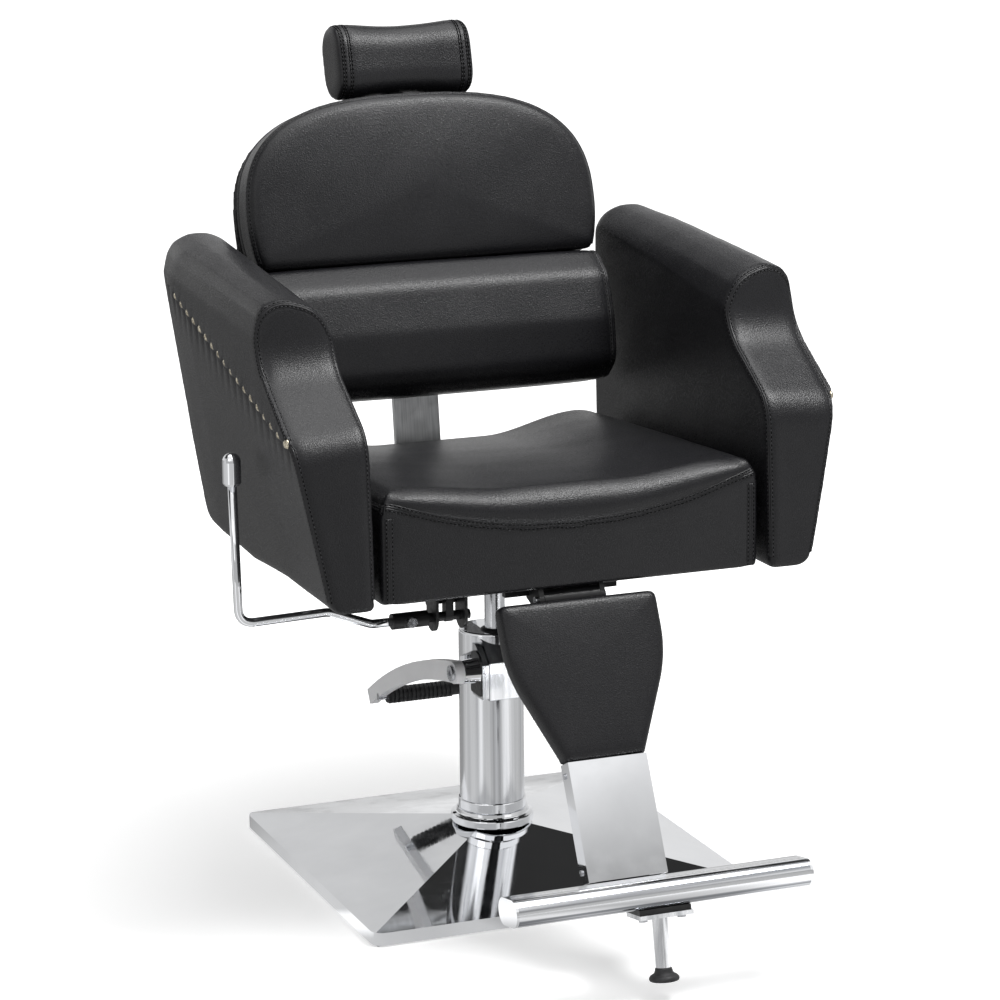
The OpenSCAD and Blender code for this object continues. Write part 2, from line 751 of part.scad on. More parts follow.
module back_board() {
    color("#c9a36b") in_back() difference() {
        translate([0, board_back, 0]) rotate([90, 0, 0]) linear_extrude(board_back - board_y)
            polygon(back_outline(12, 16 - lumbar_h));
        back_bolt_places() translate([0, 0, board_y - 1]) cylinder(h = 30, d = 6.4);
    }
}

// Padded cover of the back's rear side, open in the middle for the bar and the headrest socket
module back_cover() {
    rings = [for (s = [[12, board_back + 0.3], [4, board_back + 0.3], [3, board_back + 5],
        [9, board_back + 10], [28, board_back + 14]])
        [for (p = back_outline(s[0], 6 - lumbar_h)) [p[0], s[1], p[1]]]];
    color("#2b2b2d") in_back() difference() {
        loft_flipped(rings, [0, board_back + 0.3, 20], [0, board_back + 15, 20]);
        translate([-36, board_back - 5, -98]) cube([72, 40, back_h + 140]);
    }
}

// Centre line of the back bar in Y and Z, from its pivot up to the board
function back_point(y, z) = [back_foot[0] + y * cos(back_tilt) + z * sin(back_tilt),
    back_foot[1] - y * sin(back_tilt) + z * cos(back_tilt)];

function bar_path() =
    let (low = back_point(board_back + bar_t / 2, -58), top = back_point(board_back + bar_t / 2, 58))
    bent([[back_pivot[0] + 20, back_pivot[1] + 3, 0], [248, 424, 26], [258, 500, 150],
        [272, 606, 60], [low[0], low[1], 30], [top[0], top[1], 0]], 6);

// Flat bar, barrel and cranks, welded into one
module back_bar() {
    crank_end = [back_pivot[0], back_pivot[1] - crank_l];
    color("#b4b6b9") difference() {
        union() {
            along_x(-bar_hw, bar_hw) polygon(strip(bar_path(), bar_t));
            bar_x(-rail_x + gap, rail_x - gap, back_pivot, 24);
            along_x(-bar_hw, bar_hw) translate([back_pivot[0], back_pivot[1] - 3]) square([22, 9]);
            // Fork and pin for the gas spring
            for (x = [gas_x - 11, gas_x + 6]) along_x(x, x + 5) link_2d(back_pivot, gas_eye, 20);
            bar_x(gas_x - 11, gas_x + 11, gas_eye, 8);
            // Crank and stub pin for the link bar
            along_x(link_x + 6, link_x + 11) link_2d(back_pivot, crank_end, 20);
            bar_x(link_x - 5, link_x + 8, crank_end, 8);
        }
        bar_x(-rail_x, rail_x, back_pivot, pin_d + 2 * fit);
        in_back() back_bolt_places() translate([0, 0, board_back - 1]) cylinder(h = bar_t + 3, d = 6.4);
    }
}

module headrest_socket() {
    color("#2a2a2c") in_back() difference() {
        translate([-26, board_back, 112]) cube([52, 11, 86]);
        translate([-14 - fit, board_back + 3 - fit, 100]) cube([28 + 2 * fit, 5 + 2 * fit, 120]);
        translate([0, board_back + 7, 170]) rotate([-90, 0, 0]) cylinder(h = 10, d = 8 + 2 * fit);
    }
}

// Places of the back's screws, each along the thickness of the back
module back_bolt_places() {
    for (z = [-30, 36], x = [-18, 18]) translate([x, 0, z]) rotate([-90, 0, 0]) children();
}

module back_bolts() {
    color("#c8cacd") in_back() back_bolt_places() {
        translate([0, 0, board_y + 1]) cylinder(h = board_back - board_y - 1 + bar_t, d = 6);
        translate([0, 0, board_back + bar_t]) cylinder(h = 4, d = 11);
    }
}

// ---- link between the back and the leg rest ----

module link_bar() {
    a = [leg_pivot[0], leg_pivot[1] - crank_l];
    b = [back_pivot[0], back_pivot[1] - crank_l];
    color("#2a2a2c") along_x(link_x - 3, link_x + 3) difference() {
        link_2d(a, b, 18);
        translate(a) circle(d = 8.8);
        translate(b) circle(d = 8 + 2 * fit);
    }
}

// ---- headrest ----

module headrest_bar() {
    color("#b4b6b9") in_back() difference() {
        translate([-14, board_back + 3, 74]) cube([28, 5, 210]);
        for (z = [240, 272]) translate([0, board_back, z]) rotate([-90, 0, 0]) cylinder(h = 12, d = 5.4);
    }
}

// Neck pillow: an oval section that is slimmer in the middle of its width
module headrest_pad() {
    w = headrest_w / 2;
    back = board_back + 3;
    mid = headrest_mid;
    steps = [[-1, 16], [-0.97, 5], [-0.9, 0], [-0.6, 1.5], [-0.3, 4], [0, 5], [0.3, 4], [0.6, 1.5],
        [0.9, 0], [0.97, 5], [1, 16]];
    section = rounded([[0, -headrest_h / 2, 30], [-headrest_d, -headrest_h / 2, 34],
        [-headrest_d, headrest_h / 2, 38], [0, headrest_h / 2, 30]], 6);
    rings = [for (s = steps) [for (p = section)
        [s[0] * w, back + min(p[0] + max(s[1] * (-p[0] / headrest_d), 0), 0),
            mid + p[1] * (1 - s[1] * 2 / headrest_h)]]];
    color("#2b2b2d") in_back() loft_flipped(rings, [-w, back - 32, mid], [w, back - 32, mid]);
}

module headrest_knob() {
    color("#202020") in_back() translate([0, board_back + 8 + gap, 170]) rotate([-90, 0, 0]) {
        cylinder(h = 6, d = 8);
        translate([0, 0, 3]) difference() {
            cylinder(h = 14, d = 30);
            for (a = [0 : 60 : 300]) rotate(a) translate([18, 0, -1]) cylinder(h = 16, d = 12);
        }
    }
}

// ---- leg rest ----

function leg_point(y, z) = [calf_y + y * cos(leg_tilt) + z * sin(leg_tilt),
    calf_z - y * sin(leg_tilt) + z * cos(leg_tilt)];

function foot_point(y, z) = [foot_y + y * cos(foot_tilt) + z * sin(foot_tilt),
    foot_z - y * sin(foot_tilt) + z * cos(foot_tilt)];

// Flat arm from the hinge, down behind the calf board, and forward under the foot bar
module legrest_arm() {
    arm_t = 6;
    y = calf_t + gap + arm_t / 2;
    under = -foot_bar_d / 2 - arm_t / 2;
    low = -calf_h - channel_h;
    crank_end = [leg_pivot[0], leg_pivot[1] - crank_l];
    path = bent([[leg_pivot[0], leg_pivot[1] - 9, 0], concat(leg_point(y, -22), 14),
        concat(leg_point(y, low + 4), 16), concat(foot_point(foot_bar_depth / 2 + 10, under), 10),
        concat(foot_point(-18, under), 0)], 6);
    color("#2a2a2c") difference() {
        union() {
            along_x(-32, 32) polygon(strip(path, arm_t));
            bar_x(-cheek_x + gap, cheek_x - gap, leg_pivot, 22);
            along_x(26, 31) link_2d(leg_pivot, crank_end, 18);
            bar_x(27, link_x + 5, crank_end, 8);
        }
        bar_x(-cheek_x, cheek_x, leg_pivot, pin_d + 2 * fit);
    }
}

// Vase outline of the calf pad in its own frame, drawn in by i
function calf_outline(i) = let (w = calf_hw - i, b = channel_hw + 1 - i, h = -calf_h + i)
    rounded([[-w, -i, 12], [-w / 2, -i, 0], [0, -i, 0], [w / 2, -i, 0], [w, -i, 12],
        [w, -78, 165], [b + 2, h + 6, 20], [b, h, 2], [b / 2, h, 0],
        [-b / 2, h, 0], [-b, h, 2], [-b - 2, h + 6, 20], [-w, -78, 165]]);

// Room for the leg-rest hinge behind the top of the calf pad
module hinge_room() {
    bar_x(-cheek_x - 14, cheek_x + 14, leg_pivot, 29);
}

module calf_board() {
    color("#c9a36b") difference() {
        in_leg() {
            translate([0, calf_t, 0]) rotate([90, 0, 0]) linear_extrude(12) polygon(calf_outline(12));
            translate([-channel_hw + 3, calf_t - 12, -calf_h - channel_h + 14])
                cube([2 * channel_hw - 6, 12, channel_h]);
        }
        hinge_room();
    }
}

// Ring of the calf pad: the outline drawn in by i, shrunk about its middle, at depth y
function calf_ring(i, y, shrink = 1) =
    [for (p = calf_outline(i)) [p[0] * shrink, y, -85 + (p[1] + 85) * shrink]];

module calf_pad() {
    floor_y = calf_t - 12.3;
    rings = [calf_ring(11.7, floor_y, 0.5), calf_ring(11.7, floor_y), calf_ring(11.7, calf_t),
        calf_ring(3, calf_t), calf_ring(0, calf_t - 3), calf_ring(0, 8), calf_ring(2, 3),
        calf_ring(6, 0), calf_ring(6, -2.5, 0.8), calf_ring(6, -4.5, 0.55), calf_ring(6, -5.5, 0.25)];
    color("#2b2b2d") difference() {
        in_leg() loft_flipped(rings, [0, floor_y, -85], [0, -6, -85]);
        in_leg() translate([-channel_hw + 2.7, floor_y - 1, -calf_h - 4])
            cube([2 * channel_hw - 5.4, 20, 20]);
        hinge_room();
    }
}

// Folded chrome sheet round the lower part of the calf board
module foot_channel() {
    t = 2.5;
    color("#d8dade") in_leg() translate([0, 0, -calf_h - channel_h]) difference() {
        translate([-channel_hw, 0, 0]) cube([2 * channel_hw, calf_t, channel_h]);
        translate([-channel_hw + t, t, -1]) cube([2 * (channel_hw - t), calf_t, channel_h + 2]);
        for (z = [14, channel_h - 14]) translate([-60, calf_t - 7, z]) rotate([0, 90, 0])
            cylinder(h = 120, d = 4.4);
    }
}

// Extruded oval bar with grooves along its front
module foot_bar() {
    r = foot_bar_d / 2;
    h = foot_bar_depth / 2 - r;
    color("#d8dade") in_foot() along_x(-foot_bar_w / 2 + 3, foot_bar_w / 2 - 3) difference() {
        union() {
            translate([-h, 0]) circle(d = foot_bar_d);
            translate([h, 0]) circle(d = foot_bar_d);
            translate([-h, -r]) square([2 * h, foot_bar_d]);
        }
        for (y = [-16, -9, -2]) translate([y - 0.6, r - 1]) square([1.2, 2]);
        translate([-h, 0]) circle(r = r - 3);
        translate([h, 0]) circle(r = r - 3);
        translate([-h, -r + 3]) square([2 * h, foot_bar_d - 6]);
    }
}

module foot_end_caps() {
    r = foot_bar_d / 2;
    h = foot_bar_depth / 2 - r;
    color("#c4c6c9") in_foot() mirrored_pair() {
        along_x(foot_bar_w / 2 - 3, foot_bar_w / 2) cap_2d(h, r);
        along_x(foot_bar_w / 2 - 15, foot_bar_w / 2 - 3) cap_2d(h, r - 3.2);
    }
}

module cap_2d(h, r) {
    translate([-h, 0]) circle(r = r);
    translate([h, 0]) circle(r = r);
    translate([-h, -r]) square([2 * h, 2 * r]);
}

// Bracket plate and tube of the leg under the foot bar
module support_leg() {
    plate = -foot_bar_d / 2 - 6;
    color("#d8dade") in_foot() difference() {
        union() {
            translate([-33, -22, plate - 5]) cube([66, 40, 5]);
            translate([0, 0, plate - leg_len]) cylinder(h = leg_len - 4, d = 18);
        }
        for (x = [-24, 24]) translate([x, -8, plate - 6]) cylinder(h = 8, d = 6.4);
        translate([0, 0, plate - leg_len - 1]) cylinder(h = 40, d = 8 + 2 * fit);
    }
}

module leg_bolts() {
    plate = -foot_bar_d / 2 - 6;
    color("#c8cacd") {
        in_foot() for (x = [-24, 24]) translate([x, -8, 0]) {
            translate([0, 0, plate - 9]) cylinder(h = 4, d = 11, $fn = 6);
            translate([0, 0, plate - 5]) cylinder(h = 5, d = 6);
        }
        in_leg() for (z = [14, channel_h - 14]) mirrored_pair()
            translate([channel_hw, calf_t - 7, z - calf_h - channel_h]) rotate([0, 90, 0]) {
                cylinder(h = 1.6, d = 7);
                translate([0, 0, -2.5]) cylinder(h = 2.5, d = 4.2);
            }
    }
}

module levelling_foot() {
    plate = -foot_bar_d / 2 - 6;
    color("#161616") in_foot() translate([0, 0, plate - leg_len]) {
        translate([0, 0, -1]) cylinder(h = 32, d = 8);
        translate([0, 0, -16]) rotate_extrude() polygon(rounded([[0, 0, 0], [18, 0, 3], [17, 6, 6],
            [11, 9, 5], [9.5, 15.6, 2], [0, 15.6, 0]], 4));
    }
}

// ---- release lever ----

module release_shaft() {
    color("#202020") {
        bar_x(-118, -52, [lever_y, lever_z], release_d);
        // Cam that presses the gas spring's release button
        along_x(gas_x - 5, gas_x + 5) link_2d([lever_y, lever_z], [lever_y, gas_z - 2], 14);
    }
}

module lever_rod() {
    sides = 12;
    path = bent([[-136, lever_z, 0], [-180, lever_z, 20], [-236, lever_z + 21, 20],
        [-lever_x + 2, lever_z + 18, 20], [-lever_x - 2, lever_z + 195, 0]], 5);
    last = len(path) - 1;
    rings = [for (k = [0 : last])
        let (d = unit(path[min(k + 1, last)] - path[max(k - 1, 0)]))
        [for (j = [0 : sides - 1]) let (a = 360 * j / sides, r = lever_rod_d / 2)
            [path[k][0] - d[1] * r * cos(a), lever_y + r * sin(a), path[k][1] + d[0] * r * cos(a)]]];
    color("#d8dade") loft_flipped(rings, [path[0][0], lever_y, path[0][1]],
        [path[last][0], lever_y, path[last][1]]);
}

module lever_coupling() {
    color("#202020") difference() {
        bar_x(-154, -108, [lever_y, lever_z], 20);
        bar_x(-160, -136, [lever_y, lever_z], lever_rod_d);
        bar_x(-118, -100, [lever_y, lever_z], release_d);
        translate([-132, lever_y, lever_z]) rotate([90, 0, 0]) cylinder(h = 20, d = 6);
    }
}

module coupling_screw() {
    color("#c8cacd") translate([-132, lever_y, lever_z]) rotate([90, 0, 0]) difference() {
        union() {
            translate([0, 0, 3]) cylinder(h = 9, d = 6);
            translate([0, 0, 10]) cylinder(h = 6, d = 12.5);
        }
        translate([0, 0, 13]) cylinder(h = 4, d = 6, $fn = 6);
    }
}

module lever_tip() {
    color("#a9abae") translate([-lever_x - 2, lever_y, lever_z + 190]) difference() {
        rotate_extrude() polygon(concat([[0, 0], [9, 0], [11.25, 3]],
            [for (a = [0 : 15 : 90]) [11.25 * cos(a), 29 + 11 * sin(a)]]));
        translate([0, 0, -1]) cylinder(h = 6, d = lever_rod_d + 0.6);
    }
}

base_mat();
base_plate();
base_bolts();
base_neck();
lock_ring();
collar_ring();
pump_tube();
pump_cylinder();
pump_head();
pump_cap();
rod_seal();
shaft_gasket();
piston_rod();
pedal_shaft();
pedal_arm();
pedal_bolts();
pedal_bar();
pedal_sleeve();
pump_plunger();
swivel_hub();
seat_frame();
frame_bolts();
seat_board();
seat_cushion();
legrest_pin();
recline_pin();
lever_ears();
arm_brackets();
arm_left_board();
arm_left_pad();
arm_right_board();
arm_right_pad();
nailheads();
gas_rod();
gas_cylinder();
back_bar();
back_board();
upper_cushion();
lumbar_cushion();
back_cover();
headrest_socket();
back_bolts();
link_bar();
headrest_bar();
headrest_pad();
headrest_knob();
legrest_arm();
calf_board();
calf_pad();
foot_channel();
foot_bar();
foot_end_caps();
support_leg();
leg_bolts();
levelling_foot();
release_shaft();
lever_rod();
lever_coupling();
coupling_screw();
lever_tip();
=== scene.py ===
import math
import bpy
import numpy as np
from mathutils import Matrix, Vector
from mathutils.bvhtree import BVHTree


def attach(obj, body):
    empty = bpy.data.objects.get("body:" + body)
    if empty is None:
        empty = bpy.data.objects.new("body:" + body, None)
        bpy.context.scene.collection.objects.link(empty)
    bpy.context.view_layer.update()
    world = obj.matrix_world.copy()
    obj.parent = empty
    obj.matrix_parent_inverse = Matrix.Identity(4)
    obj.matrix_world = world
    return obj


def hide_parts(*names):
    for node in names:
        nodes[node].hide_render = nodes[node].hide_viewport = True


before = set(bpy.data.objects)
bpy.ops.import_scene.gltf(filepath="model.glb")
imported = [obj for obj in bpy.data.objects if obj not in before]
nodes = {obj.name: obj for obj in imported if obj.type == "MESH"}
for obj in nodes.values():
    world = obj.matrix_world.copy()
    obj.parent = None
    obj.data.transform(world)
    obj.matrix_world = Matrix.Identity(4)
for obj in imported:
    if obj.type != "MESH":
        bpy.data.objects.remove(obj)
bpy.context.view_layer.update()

# ---- Base plate ----
# A square steel plate pressed into a low pyramid and chrome plated to a mirror. It stands
# on a thin rubber mat, and four screws from below hold the pump to it.


def finish(name, color, roughness, metallic=0.0, specular=0.5):
    """A material whose plain values sit on its shader's own sockets."""
    made = bpy.data.materials.new(name)
    made.use_nodes = True
    shader = made.node_tree.nodes["Principled BSDF"]
    shader.inputs["Base Color"].default_value = (*color, 1)
    shader.inputs["Roughness"].default_value = roughness
    shader.inputs["Metallic"].default_value = metallic
    shader.inputs["Specular IOR Level"].default_value = specular
    return made


def clouds(made, scale, stretch=(1, 1, 1), detail=4.0):
    """A cloudy value over the piece's own coordinates, scale features to the metre."""
    tree = made.node_tree
    coords = tree.nodes.new("ShaderNodeTexCoord")
    place = tree.nodes.new("ShaderNodeMapping")
    place.inputs["Scale"].default_value = stretch
    tree.links.new(coords.outputs["Object"], place.inputs["Vector"])
    noise = tree.nodes.new("ShaderNodeTexNoise")
    noise.inputs["Scale"].default_value = scale
    noise.inputs["Detail"].default_value = detail
    tree.links.new(place.outputs["Vector"], noise.inputs["Vector"])
    return noise.outputs["Fac"]


def drive(made, socket, value, low, high, start=0.35, end=0.65):
    """Lets a cloudy value move a socket of the shader between low and high."""
    tree = made.node_tree
    span = tree.nodes.new("ShaderNodeMapRange")
    span.inputs["From Min"].default_value = start
    span.inputs["From Max"].default_value = end
    span.inputs["To Min"].default_value = low
    span.inputs["To Max"].default_value = high
    tree.links.new(value, span.inputs["Value"])
    tree.links.new(span.outputs["Result"], tree.nodes["Principled BSDF"].inputs[socket])


def tint(made, value, dark, light, start=0.35, end=0.65):
    """Lets a cloudy value move the colour between two tones."""
    tree = made.node_tree
    ramp = tree.nodes.new("ShaderNodeValToRGB")
    ramp.color_ramp.elements[0].position = start
    ramp.color_ramp.elements[0].color = (*dark, 1)
    ramp.color_ramp.elements[1].position = end
    ramp.color_ramp.elements[1].color = (*light, 1)
    tree.links.new(value, ramp.inputs["Fac"])
    tree.links.new(ramp.outputs["Color"], tree.nodes["Principled BSDF"].inputs["Base Color"])


def relief(made, value, depth, under=None):
    """Bump of that depth in metres, on top of another one."""
    tree = made.node_tree
    bump = tree.nodes.new("ShaderNodeBump")
    bump.inputs["Distance"].default_value = depth
    tree.links.new(value, bump.inputs["Height"])
    if under:
        tree.links.new(under, bump.inputs["Normal"])
    tree.links.new(bump.outputs["Normal"], tree.nodes["Principled BSDF"].inputs["Normal"])
    return bump.outputs["Normal"]


def dress(made, *names):
    """Gives CAD nodes their finish."""
    for name in names:
        node = nodes[name]
        if not node.material_slots:
            node.data.materials.append(made)
        for place in node.material_slots:
            place.material = made


mirror_chrome = finish("mirror_chrome", (0.87, 0.88, 0.9), 0.04, metallic=1.0)
tint(mirror_chrome, clouds(mirror_chrome, 9), (0.82, 0.83, 0.85), (0.9, 0.91, 0.93))
drive(mirror_chrome, "Roughness", clouds(mirror_chrome, 40), 0.025, 0.075)
relief(mirror_chrome, clouds(mirror_chrome, 5, detail=1), 0.0006)
dress(mirror_chrome, "base_plate")

mat_rubber = finish("mat_rubber", (0.02, 0.02, 0.021), 0.8)
tint(mat_rubber, clouds(mat_rubber, 120), (0.014, 0.014, 0.015), (0.03, 0.03, 0.031))
relief(mat_rubber, clouds(mat_rubber, 900), 0.0002)
dress(mat_rubber, "base_mat")

zinc = finish("zinc_plate", (0.62, 0.63, 0.66), 0.3, metallic=1.0)
tint(zinc, clouds(zinc, 260), (0.5, 0.51, 0.53), (0.72, 0.73, 0.76))
drive(zinc, "Roughness", clouds(zinc, 700), 0.2, 0.38)
dress(zinc, "base_bolts", "frame_bolts", "back_bolts", "leg_bolts", "pedal_bolts", "coupling_screw")

# ---- Column ----
# The pump's chromed tube stands in a turned neck between two loose rings. Its head is a
# casting with a nose for the pedal shaft, ground, polished and plated with the tube.

drawn_chrome = finish("drawn_chrome", (0.82, 0.83, 0.85), 0.12, metallic=1.0)
# Lengthwise light and dark streaks in the chrome's colour, on the tube, neck, head and support leg:
# painted reflection streaks.
painted_reflection_streaks = clouds(drawn_chrome, 60, stretch=(1, 1, 0.01))
tint(drawn_chrome, painted_reflection_streaks, (0.5, 0.51, 0.53), (0.92, 0.93, 0.95), 0.35, 0.6)
drive(drawn_chrome, "Roughness", clouds(drawn_chrome, 30, stretch=(1, 1, 0.05)), 0.08, 0.2)
relief(drawn_chrome, clouds(drawn_chrome, 900, stretch=(1, 1, 0.02)), 0.00002)
dress(drawn_chrome, "pump_tube", "pump_head", "base_neck")
dress(mirror_chrome, "lock_ring", "collar_ring", "pump_cap")

ground_steel = finish("ground_steel", (0.62, 0.63, 0.65), 0.2, metallic=1.0)
tint(ground_steel, clouds(ground_steel, 300, stretch=(1, 1, 0.1)), (0.52, 0.53, 0.55), (0.7, 0.71, 0.73))
drive(ground_steel, "Roughness", clouds(ground_steel, 500), 0.14, 0.28)
dress(ground_steel, "piston_rod", "pump_cylinder", "pump_plunger", "pedal_shaft", "pedal_bar",
      "legrest_pin", "recline_pin", "gas_rod")

black_rubber = finish("black_rubber", (0.018, 0.018, 0.019), 0.55)
tint(black_rubber, clouds(black_rubber, 90), (0.012, 0.012, 0.013), (0.026, 0.026, 0.028))
relief(black_rubber, clouds(black_rubber, 1400), 0.0001)
dress(black_rubber, "rod_seal", "pedal_sleeve", "levelling_foot")

# ---- Pedal ----
# A curved lever of cast metal on the pump's rocker shaft, its blade satin and its hub
# polished, with a cross bar in a ribbed rubber sleeve. A spring in the pump lifts it again.

satin_cast = finish("satin_cast", (0.93, 0.93, 0.94), 0.42)
tint(satin_cast, clouds(satin_cast, 18, detail=2), (0.92, 0.92, 0.93), (0.97, 0.97, 0.98))
hub_side = satin_cast.node_tree.nodes.new("ShaderNodeSeparateXYZ")
satin_cast.node_tree.links.new(
    satin_cast.node_tree.nodes["Texture Coordinate"].outputs["Object"], hub_side.inputs[0])
drive(satin_cast, "Metallic", hub_side.outputs["X"], 0.0, 1.0, -0.058, -0.057)
drive(satin_cast, "Roughness", hub_side.outputs["X"], 0.42, 0.08, -0.058, -0.057)
dress(satin_cast, "pedal_arm")
rounding = nodes["pedal_arm"].modifiers.new("rounded_edges", "BEVEL")
rounding.width = 0.0035
rounding.segments = 4
rounding.limit_method = "ANGLE"
rounding.angle_limit = math.radians(35)

black_paint = finish("black_paint", (0.014, 0.014, 0.015), 0.35)
tint(black_paint, clouds(black_paint, 40), (0.01, 0.01, 0.011), (0.02, 0.02, 0.021))
drive(black_paint, "Roughness", clouds(black_paint, 220), 0.28, 0.45)
relief(black_paint, clouds(black_paint, 500), 0.00012)
dress(black_paint, "shaft_gasket")

# ---- Seat frame ----
# Welded flat and square steel under the seat in black powder coat, from the hub on the ram to
# the arms' brackets. The cushions are bolted to it through plywood boards, which are covered
# with black lining cloth where they can be seen.

dress(black_paint, "swivel_hub", "seat_frame", "lever_ears", "arm_brackets", "link_bar",
      "gas_cylinder", "headrest_socket", "legrest_arm", "release_shaft")

plywood = finish("plywood", (0.5, 0.36, 0.2), 0.7)
tint(plywood, clouds(plywood, 14, stretch=(1, 9, 9), detail=8), (0.36, 0.24, 0.12), (0.6, 0.44, 0.26))
relief(plywood, clouds(plywood, 60, stretch=(1, 12, 12)), 0.0003)
dress(plywood, "arm_left_board", "arm_right_board")

lining = finish("black_lining", (0.013, 0.013, 0.014), 0.85, specular=0.2)
tint(lining, clouds(lining, 350), (0.009, 0.009, 0.01), (0.018, 0.018, 0.019))
relief(lining, clouds(lining, 1600), 0.0001)
dress(lining, "seat_board", "back_board", "calf_board")

# ---- Seat cushion ----
# Moulded foam under black leatherette. The top panel hollows to the rear between two
# bolsters and hangs over the front, where a double-stitched seam joins it to the border.

black_leather = finish("black_leather", (0.0095, 0.0095, 0.011), 0.36, specular=0.34)
tint(black_leather, clouds(black_leather, 22), (0.0085, 0.0085, 0.01), (0.0105, 0.0105, 0.012))
drive(black_leather, "Roughness", clouds(black_leather, 700, detail=2), 0.25, 0.42)
cells = black_leather.node_tree.nodes.new("ShaderNodeTexVoronoi")
cells.inputs["Scale"].default_value = 620
black_leather.node_tree.links.new(
    black_leather.node_tree.nodes["Mapping"].outputs["Vector"], cells.inputs["Vector"])
grain = relief(black_leather, cells.outputs["Distance"], 0.0002)
relief(black_leather, clouds(black_leather, 1300, detail=2), 0.00014, grain)

# Near-black strips that lie along each stitch row: painted shade of the seam's grooves.
painted_seam_shade = finish("painted_seam_shade", (0.0012, 0.0012, 0.0012), 0.9, specular=0.05)
tint(painted_seam_shade, clouds(painted_seam_shade, 600), (0.0008, 0.0008, 0.0008), (0.0016, 0.0016, 0.0016))

black_thread = finish("black_thread", (0.02, 0.02, 0.022), 0.6, specular=0.4)
tint(black_thread, clouds(black_thread, 2500), (0.02, 0.02, 0.022), (0.06, 0.06, 0.064))


def rounded(corners, steps=12):
    """Outline of corners (a, b, radius), each drawn as a short curve, or as a point at radius 0."""
    out = []
    for k, (a, b, radius) in enumerate(corners):
        p = np.array([a, b], float)
        if radius == 0:
            out.append(p)
            continue
        u = np.array(corners[k - 1][:2]) - p
        v = np.array(corners[(k + 1) % len(corners)][:2]) - p
        u, v = u / np.linalg.norm(u), v / np.linalg.norm(v)
        reach = radius / math.tan(math.acos(u @ v) / 2)
        for s in np.linspace(0, 1, steps + 1):
            out.append((1 - s) ** 2 * (p + u * reach) + 2 * s * (1 - s) * p + s * s * (p + v * reach))
    return np.array(out)


def even(line, count, closed=True):
    """The same line with count evenly spaced points."""
    line = np.asarray(line, float)
    if closed:
        line = np.vstack([line, line[:1]])
    run = np.concatenate([[0], np.cumsum(np.linalg.norm(np.diff(line, axis=0), axis=1))])
    at = np.linspace(0, run[-1], count + 1)[:-1] if closed else np.linspace(0, run[-1], count)
    return np.column_stack([np.interp(at, run, line[:, k]) for k in range(line.shape[1])])


def drawn_in(outline, inset, middle, soft=14):
    """The outline drawn in: square to itself at first, and then towards its middle."""
    ahead, behind = np.roll(outline, -1, 0), np.roll(outline, 1, 0)
    run = ahead - behind
    side = np.column_stack([run[:, 1], -run[:, 0]]) / np.linalg.norm(run, axis=1)[:, None]
    middle = np.array(middle, float)
    if np.sum(side * (outline - middle)) < 0:
        side = -side
    near = outline - side * min(inset, soft)
    if inset <= soft:
        return near
    reach = np.min(np.linalg.norm(near - middle, axis=1))
    return middle + (near - middle) * max(1 - (inset - soft) / reach, 0.02)


def settle(piece):
    """Applies the piece's modifiers and shades it smooth."""
    depsgraph = bpy.context.evaluated_depsgraph_get()
    mesh = bpy.data.meshes.new_from_object(piece.evaluated_get(depsgraph))
    piece.modifiers.clear()
    piece.data = mesh
    mesh.polygons.foreach_set("use_smooth", [True] * len(mesh.polygons))
    return piece


def solid(name, points, faces, made):
    """A mesh piece from points in millimetres."""
    mesh = bpy.data.meshes.new(name)
    mesh.from_pydata((np.asarray(points, float) / 1000).tolist(), [], faces)
    mesh.materials.append(made)
    mesh.validate()
    piece = bpy.data.objects.new(name, mesh)
    bpy.context.scene.collection.objects.link(piece)
    mesh.polygons.foreach_set("use_smooth", [True] * len(mesh.polygons))
    return piece


def even_skin(piece, pitch, smoothing):
    """Remeshes a closed piece to even faces, pitch in millimetres, and smooths it."""
    remesh = piece.modifiers.new("even", "REMESH")
    remesh.mode = "VOXEL"
    remesh.voxel_size = pitch / 1000
    smooth = piece.modifiers.new("smooth", "SMOOTH")
    smooth.factor = 0.5
    smooth.iterations = smoothing
    return settle(piece)


def foam(name, rings, first, last, pitch, smoothing):
    """A closed foam form through rings of points, its two ends closed to a tip."""
    n = len(rings[0])
    points = [first] + [p for ring in rings for p in ring] + [last]
    faces = [(0, 1 + k, 1 + (k + 1) % n) for k in range(n)]
    for j in range(len(rings) - 1):
        for k in range(n):
            a, b = 1 + j * n + k, 1 + j * n + (k + 1) % n
            faces.append((a, a + n, b + n, b))
    end = 1 + (len(rings) - 1) * n
    faces += [(len(points) - 1, end + (k + 1) % n, end + k) for k in range(n)]
    piece = solid(name, points, faces, black_leather)
    return even_skin(piece, pitch, smoothing)


def reshape(piece, change):
    """Moves a piece's points: change takes points and normals in millimetres."""
    mesh = piece.data
    points = np.empty(len(mesh.vertices) * 3)
    normals = np.empty(len(mesh.vertices) * 3)
    mesh.vertices.foreach_get("co", points)
    mesh.vertices.foreach_get("normal", normals)
    points, normals = points.reshape(-1, 3) * 1000, normals.reshape(-1, 3)
    mesh.vertices.foreach_set("co", (change(points, normals) / 1000).ravel())
    mesh.update()


def distance_to(points, path):
    """Distance of each point from a line of points, in millimetres."""
    path = np.asarray(path, float)
    best = np.full(len(points), 1e9)
    for a, b in zip(path[:-1], path[1:]):
        along = b - a
        t = np.clip((points - a) @ along / (along @ along), 0, 1)
        best = np.minimum(best, np.linalg.norm(points - a - t[:, None] * along, axis=1))
    return best


def step(low, high, value):
    """0 below low, 1 above high, and a smooth rise between them."""
    t = np.clip((np.asarray(value, float) - low) / (high - low), 0, 1)
    return t * t * (3 - 2 * t)


